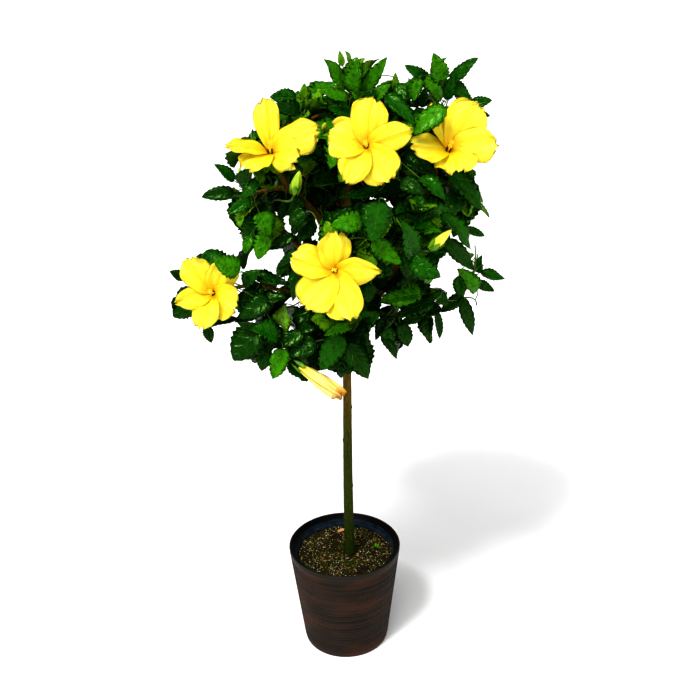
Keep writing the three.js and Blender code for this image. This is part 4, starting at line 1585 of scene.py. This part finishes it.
for name, start, numbers in shoots:
    line = np.array([places[i] for i in numbers])
    line_ways = np.array([ways[i] for i in numbers])
    from_end = np.linalg.norm(np.diff(line[::-1], axis=0), axis=1).cumsum()
    from_end = np.concatenate([[0], from_end])[::-1]
    tone = spray_tone(line[-1])
    turn = leaf_chance.uniform(0, 2 * math.pi)
    shade = float(np.interp(line[-1, 2], (LOW_MASS, HIGH_MASS), (LOW_VIGOUR, 1.0)))
    vigour = shade * leaf_chance.uniform(0.9, 1.12)
    for order, (back, _, size, _) in enumerate(LEAF_ORDER):
        turn += SPIRAL
        if back * MM > from_end[0]:
            break
        root = on_line(-from_end, line, -back * MM)
        axis = unit(on_line(-from_end, line_ways, -back * MM))
        length = size * vigour * leaf_chance.uniform(0.86, 1.14) * MM
        leaf = leaf_with_room(root, axis, turn, order, length, bool(name))
        if leaf:
            grid, foot, way, ahead = leaf
            kind = "young" if order < YOUNG_LEAVES and tone != "deep" else tone
            leaf_grids[kind].append(grid)
            add_stalk(bend(root, unit(axis + way), foot, ahead, STALK_STEP),
                      leaf_chance.uniform(0.75, 0.95) * MM)

for k in range(WEED_LEAVES):
    a = k * SPIRAL
    way = unit(np.array((math.cos(a), math.sin(a), 0.9 - 0.1 * k)))
    foot = WEED_ROOT + (2 + 0.4 * k) * MM * way
    blade = leaf_blade((5 + 0.5 * k) * MM, 4.5 * MM, 0.2, 0.6, 0.02, a)
    leaf_grids["young"].append(aimed(blade, foot, way, unit(UP - (UP @ way) * way), 0.6))
    add_stalk(bend(WEED_ROOT, UP, foot, way, 1 * MM), 0.4 * MM)


def leaf_surface(name, blade, vein):
    """The upper side of a leaf: a waxed cuticle, quilted between sunk side veins about 9 mm
    apart, which catches the light in small pale glints. Dark green blotches that go with its
    pucker bump are painted shade of the quilting."""
    made, tree, shader = material(name, 0.3, IOR=1.45, Specular_IOR_Level=0.42,
                                  Specular_Tint=(0.55, 1.0, 0.3, 1.0))
    plan = parted(tree, sheet_plan(tree))
    wide = calc(tree, "ABSOLUTE", calc(tree, "SUBTRACT", plan["X"], 0.5))
    slant = calc(tree, "MULTIPLY_ADD", wide, -0.55, plan["Y"])
    swell = calc(tree, "PINGPONG", calc(tree, "MULTIPLY", slant, 8.0), 1.0)
    height = calc(tree, "MULTIPLY", ramp(tree, swell, 0.0, 0.3), ramp(tree, wide, 0.012, 0.05))
    drift = speckle(tree, (1, 1, 1), 45.0, 3.0)
    tone = blended(tree, ramp(tree, drift, 0.3, 0.7, 0, 0.55), blade, vein)
    veined = blended(tree, height, vein, tone)
    pucker = speckle(tree, (1, 1, 1), 110.0, 2.0)
    # painted shade: dark green blotches where the leaf puckers stand in for the shade of its quilting
    painted_pucker_shade = blended(tree, ramp(tree, pucker, 0.46, 0.64, 0, 0.45), veined, "#042300")
    coloured(tree, shader, painted_pucker_shade)
    fine = speckle(tree, (1, 1, 1), 260.0, 2.0)
    tree.links.new(ramp(tree, fine, 0.35, 0.65, 0.2, 0.34), shader.inputs["Roughness"])
    bumped(tree, shader, calc(tree, "MULTIPLY_ADD", pucker, 1.2, height), 1.2 * MM, 0.8)
    return made


def leaf_back(name, tone):
    """The underside: paler, matt, without wax."""
    return blotched(name, tone, "#2e4a14", 0.62, 70.0, 3.0, 0.5, Specular_IOR_Level=0.0)


for tone, (blade, vein, under) in TONES.items():
    mesh = sheet_mesh(f"leaves_{tone}", leaf_grids[tone], LEAF_THICKNESS,
                      leaf_surface(f"{tone}_leaf_cuticle", blade, vein),
                      leaf_back(f"{tone}_leaf_underside", under))
    on_root(f"leaves_{tone}", mesh, "foliage", *(masses if tone == "deep" else ()))
stems("leaf_stalks", leaf_stalks, 5, 6 * MM, green_skin, "foliage")

# ---- Studio -------------------------------------------------------------------------------------
# A pale matt floor and soft studio light; the camera stands at eye height about two metres away.
# The sky shows white, and lights the plant more from its edge than from above.

CAMERA_PLACE = (0.0197, -2.06, 1.688)
CAMERA_PITCH = math.radians(26.19)
CAMERA_ROLL = math.radians(1.2)
LENS = 61.8
FLOOR_REACH = 120.0


def studio_floor():
    paper, _, _ = material("matt_white_paper", 0.95, Base_Color=linear("#fbfbfb"))
    ends = ((-1, -1), (1, -1), (1, 1), (-1, 1))
    points = [(x * FLOOR_REACH, y * FLOOR_REACH, 0) for x, y in ends]
    return linked("floor", mesh_of("floor", points, [(0, 1, 2, 3)], paper))


def soft_sun(name, towards, strength, spread):
    """A lamp far away; `towards` is the way from the plant to the lamp."""
    data = bpy.data.lights.new(name, "SUN")
    data.energy = strength
    data.angle = math.radians(spread)
    turn = Vector(towards).to_track_quat("Z", "Y")
    linked(name, data).rotation_euler = turn.to_euler()


studio_floor()
soft_sun("key", (-0.36, -0.55, 0.9), 1.7, 44)
soft_sun("glint", (-0.30, -0.5, 0.9), 1.1, 8)
soft_sun("fill", (0.7, -0.6, 0.6), 0.5, 50)

world = bpy.data.worlds.new("studio_world")
world.use_nodes = True
sky = world.node_tree
place = node(sky, "ShaderNodeTexCoord")
seen = node(sky, "ShaderNodeLightPath")
glow = ramp(sky, parted(sky, place.outputs["Generated"])["Z"], 0.1, 0.4, 0.65, 0.25)
white = calc(sky, "MAXIMUM", seen.outputs["Is Camera Ray"], glow)
sky.links.new(white, sky.nodes["Background"].inputs["Strength"])
sky.nodes["Background"].inputs["Color"].default_value = (1, 1, 1, 1)
bpy.context.scene.world = world
bpy.context.scene.view_settings.view_transform = "Standard"
bpy.context.scene.view_settings.look = "High Contrast"

lens = bpy.data.cameras.new("camera")
lens.lens = LENS
lens.sensor_width = 36
camera = linked("camera", lens)
camera.location = CAMERA_PLACE
pitched = Matrix.Rotation(math.pi / 2 - CAMERA_PITCH, 3, "X")
camera.rotation_euler = (pitched @ Matrix.Rotation(-CAMERA_ROLL, 3, "Z")).to_euler()
bpy.context.scene.camera = camera
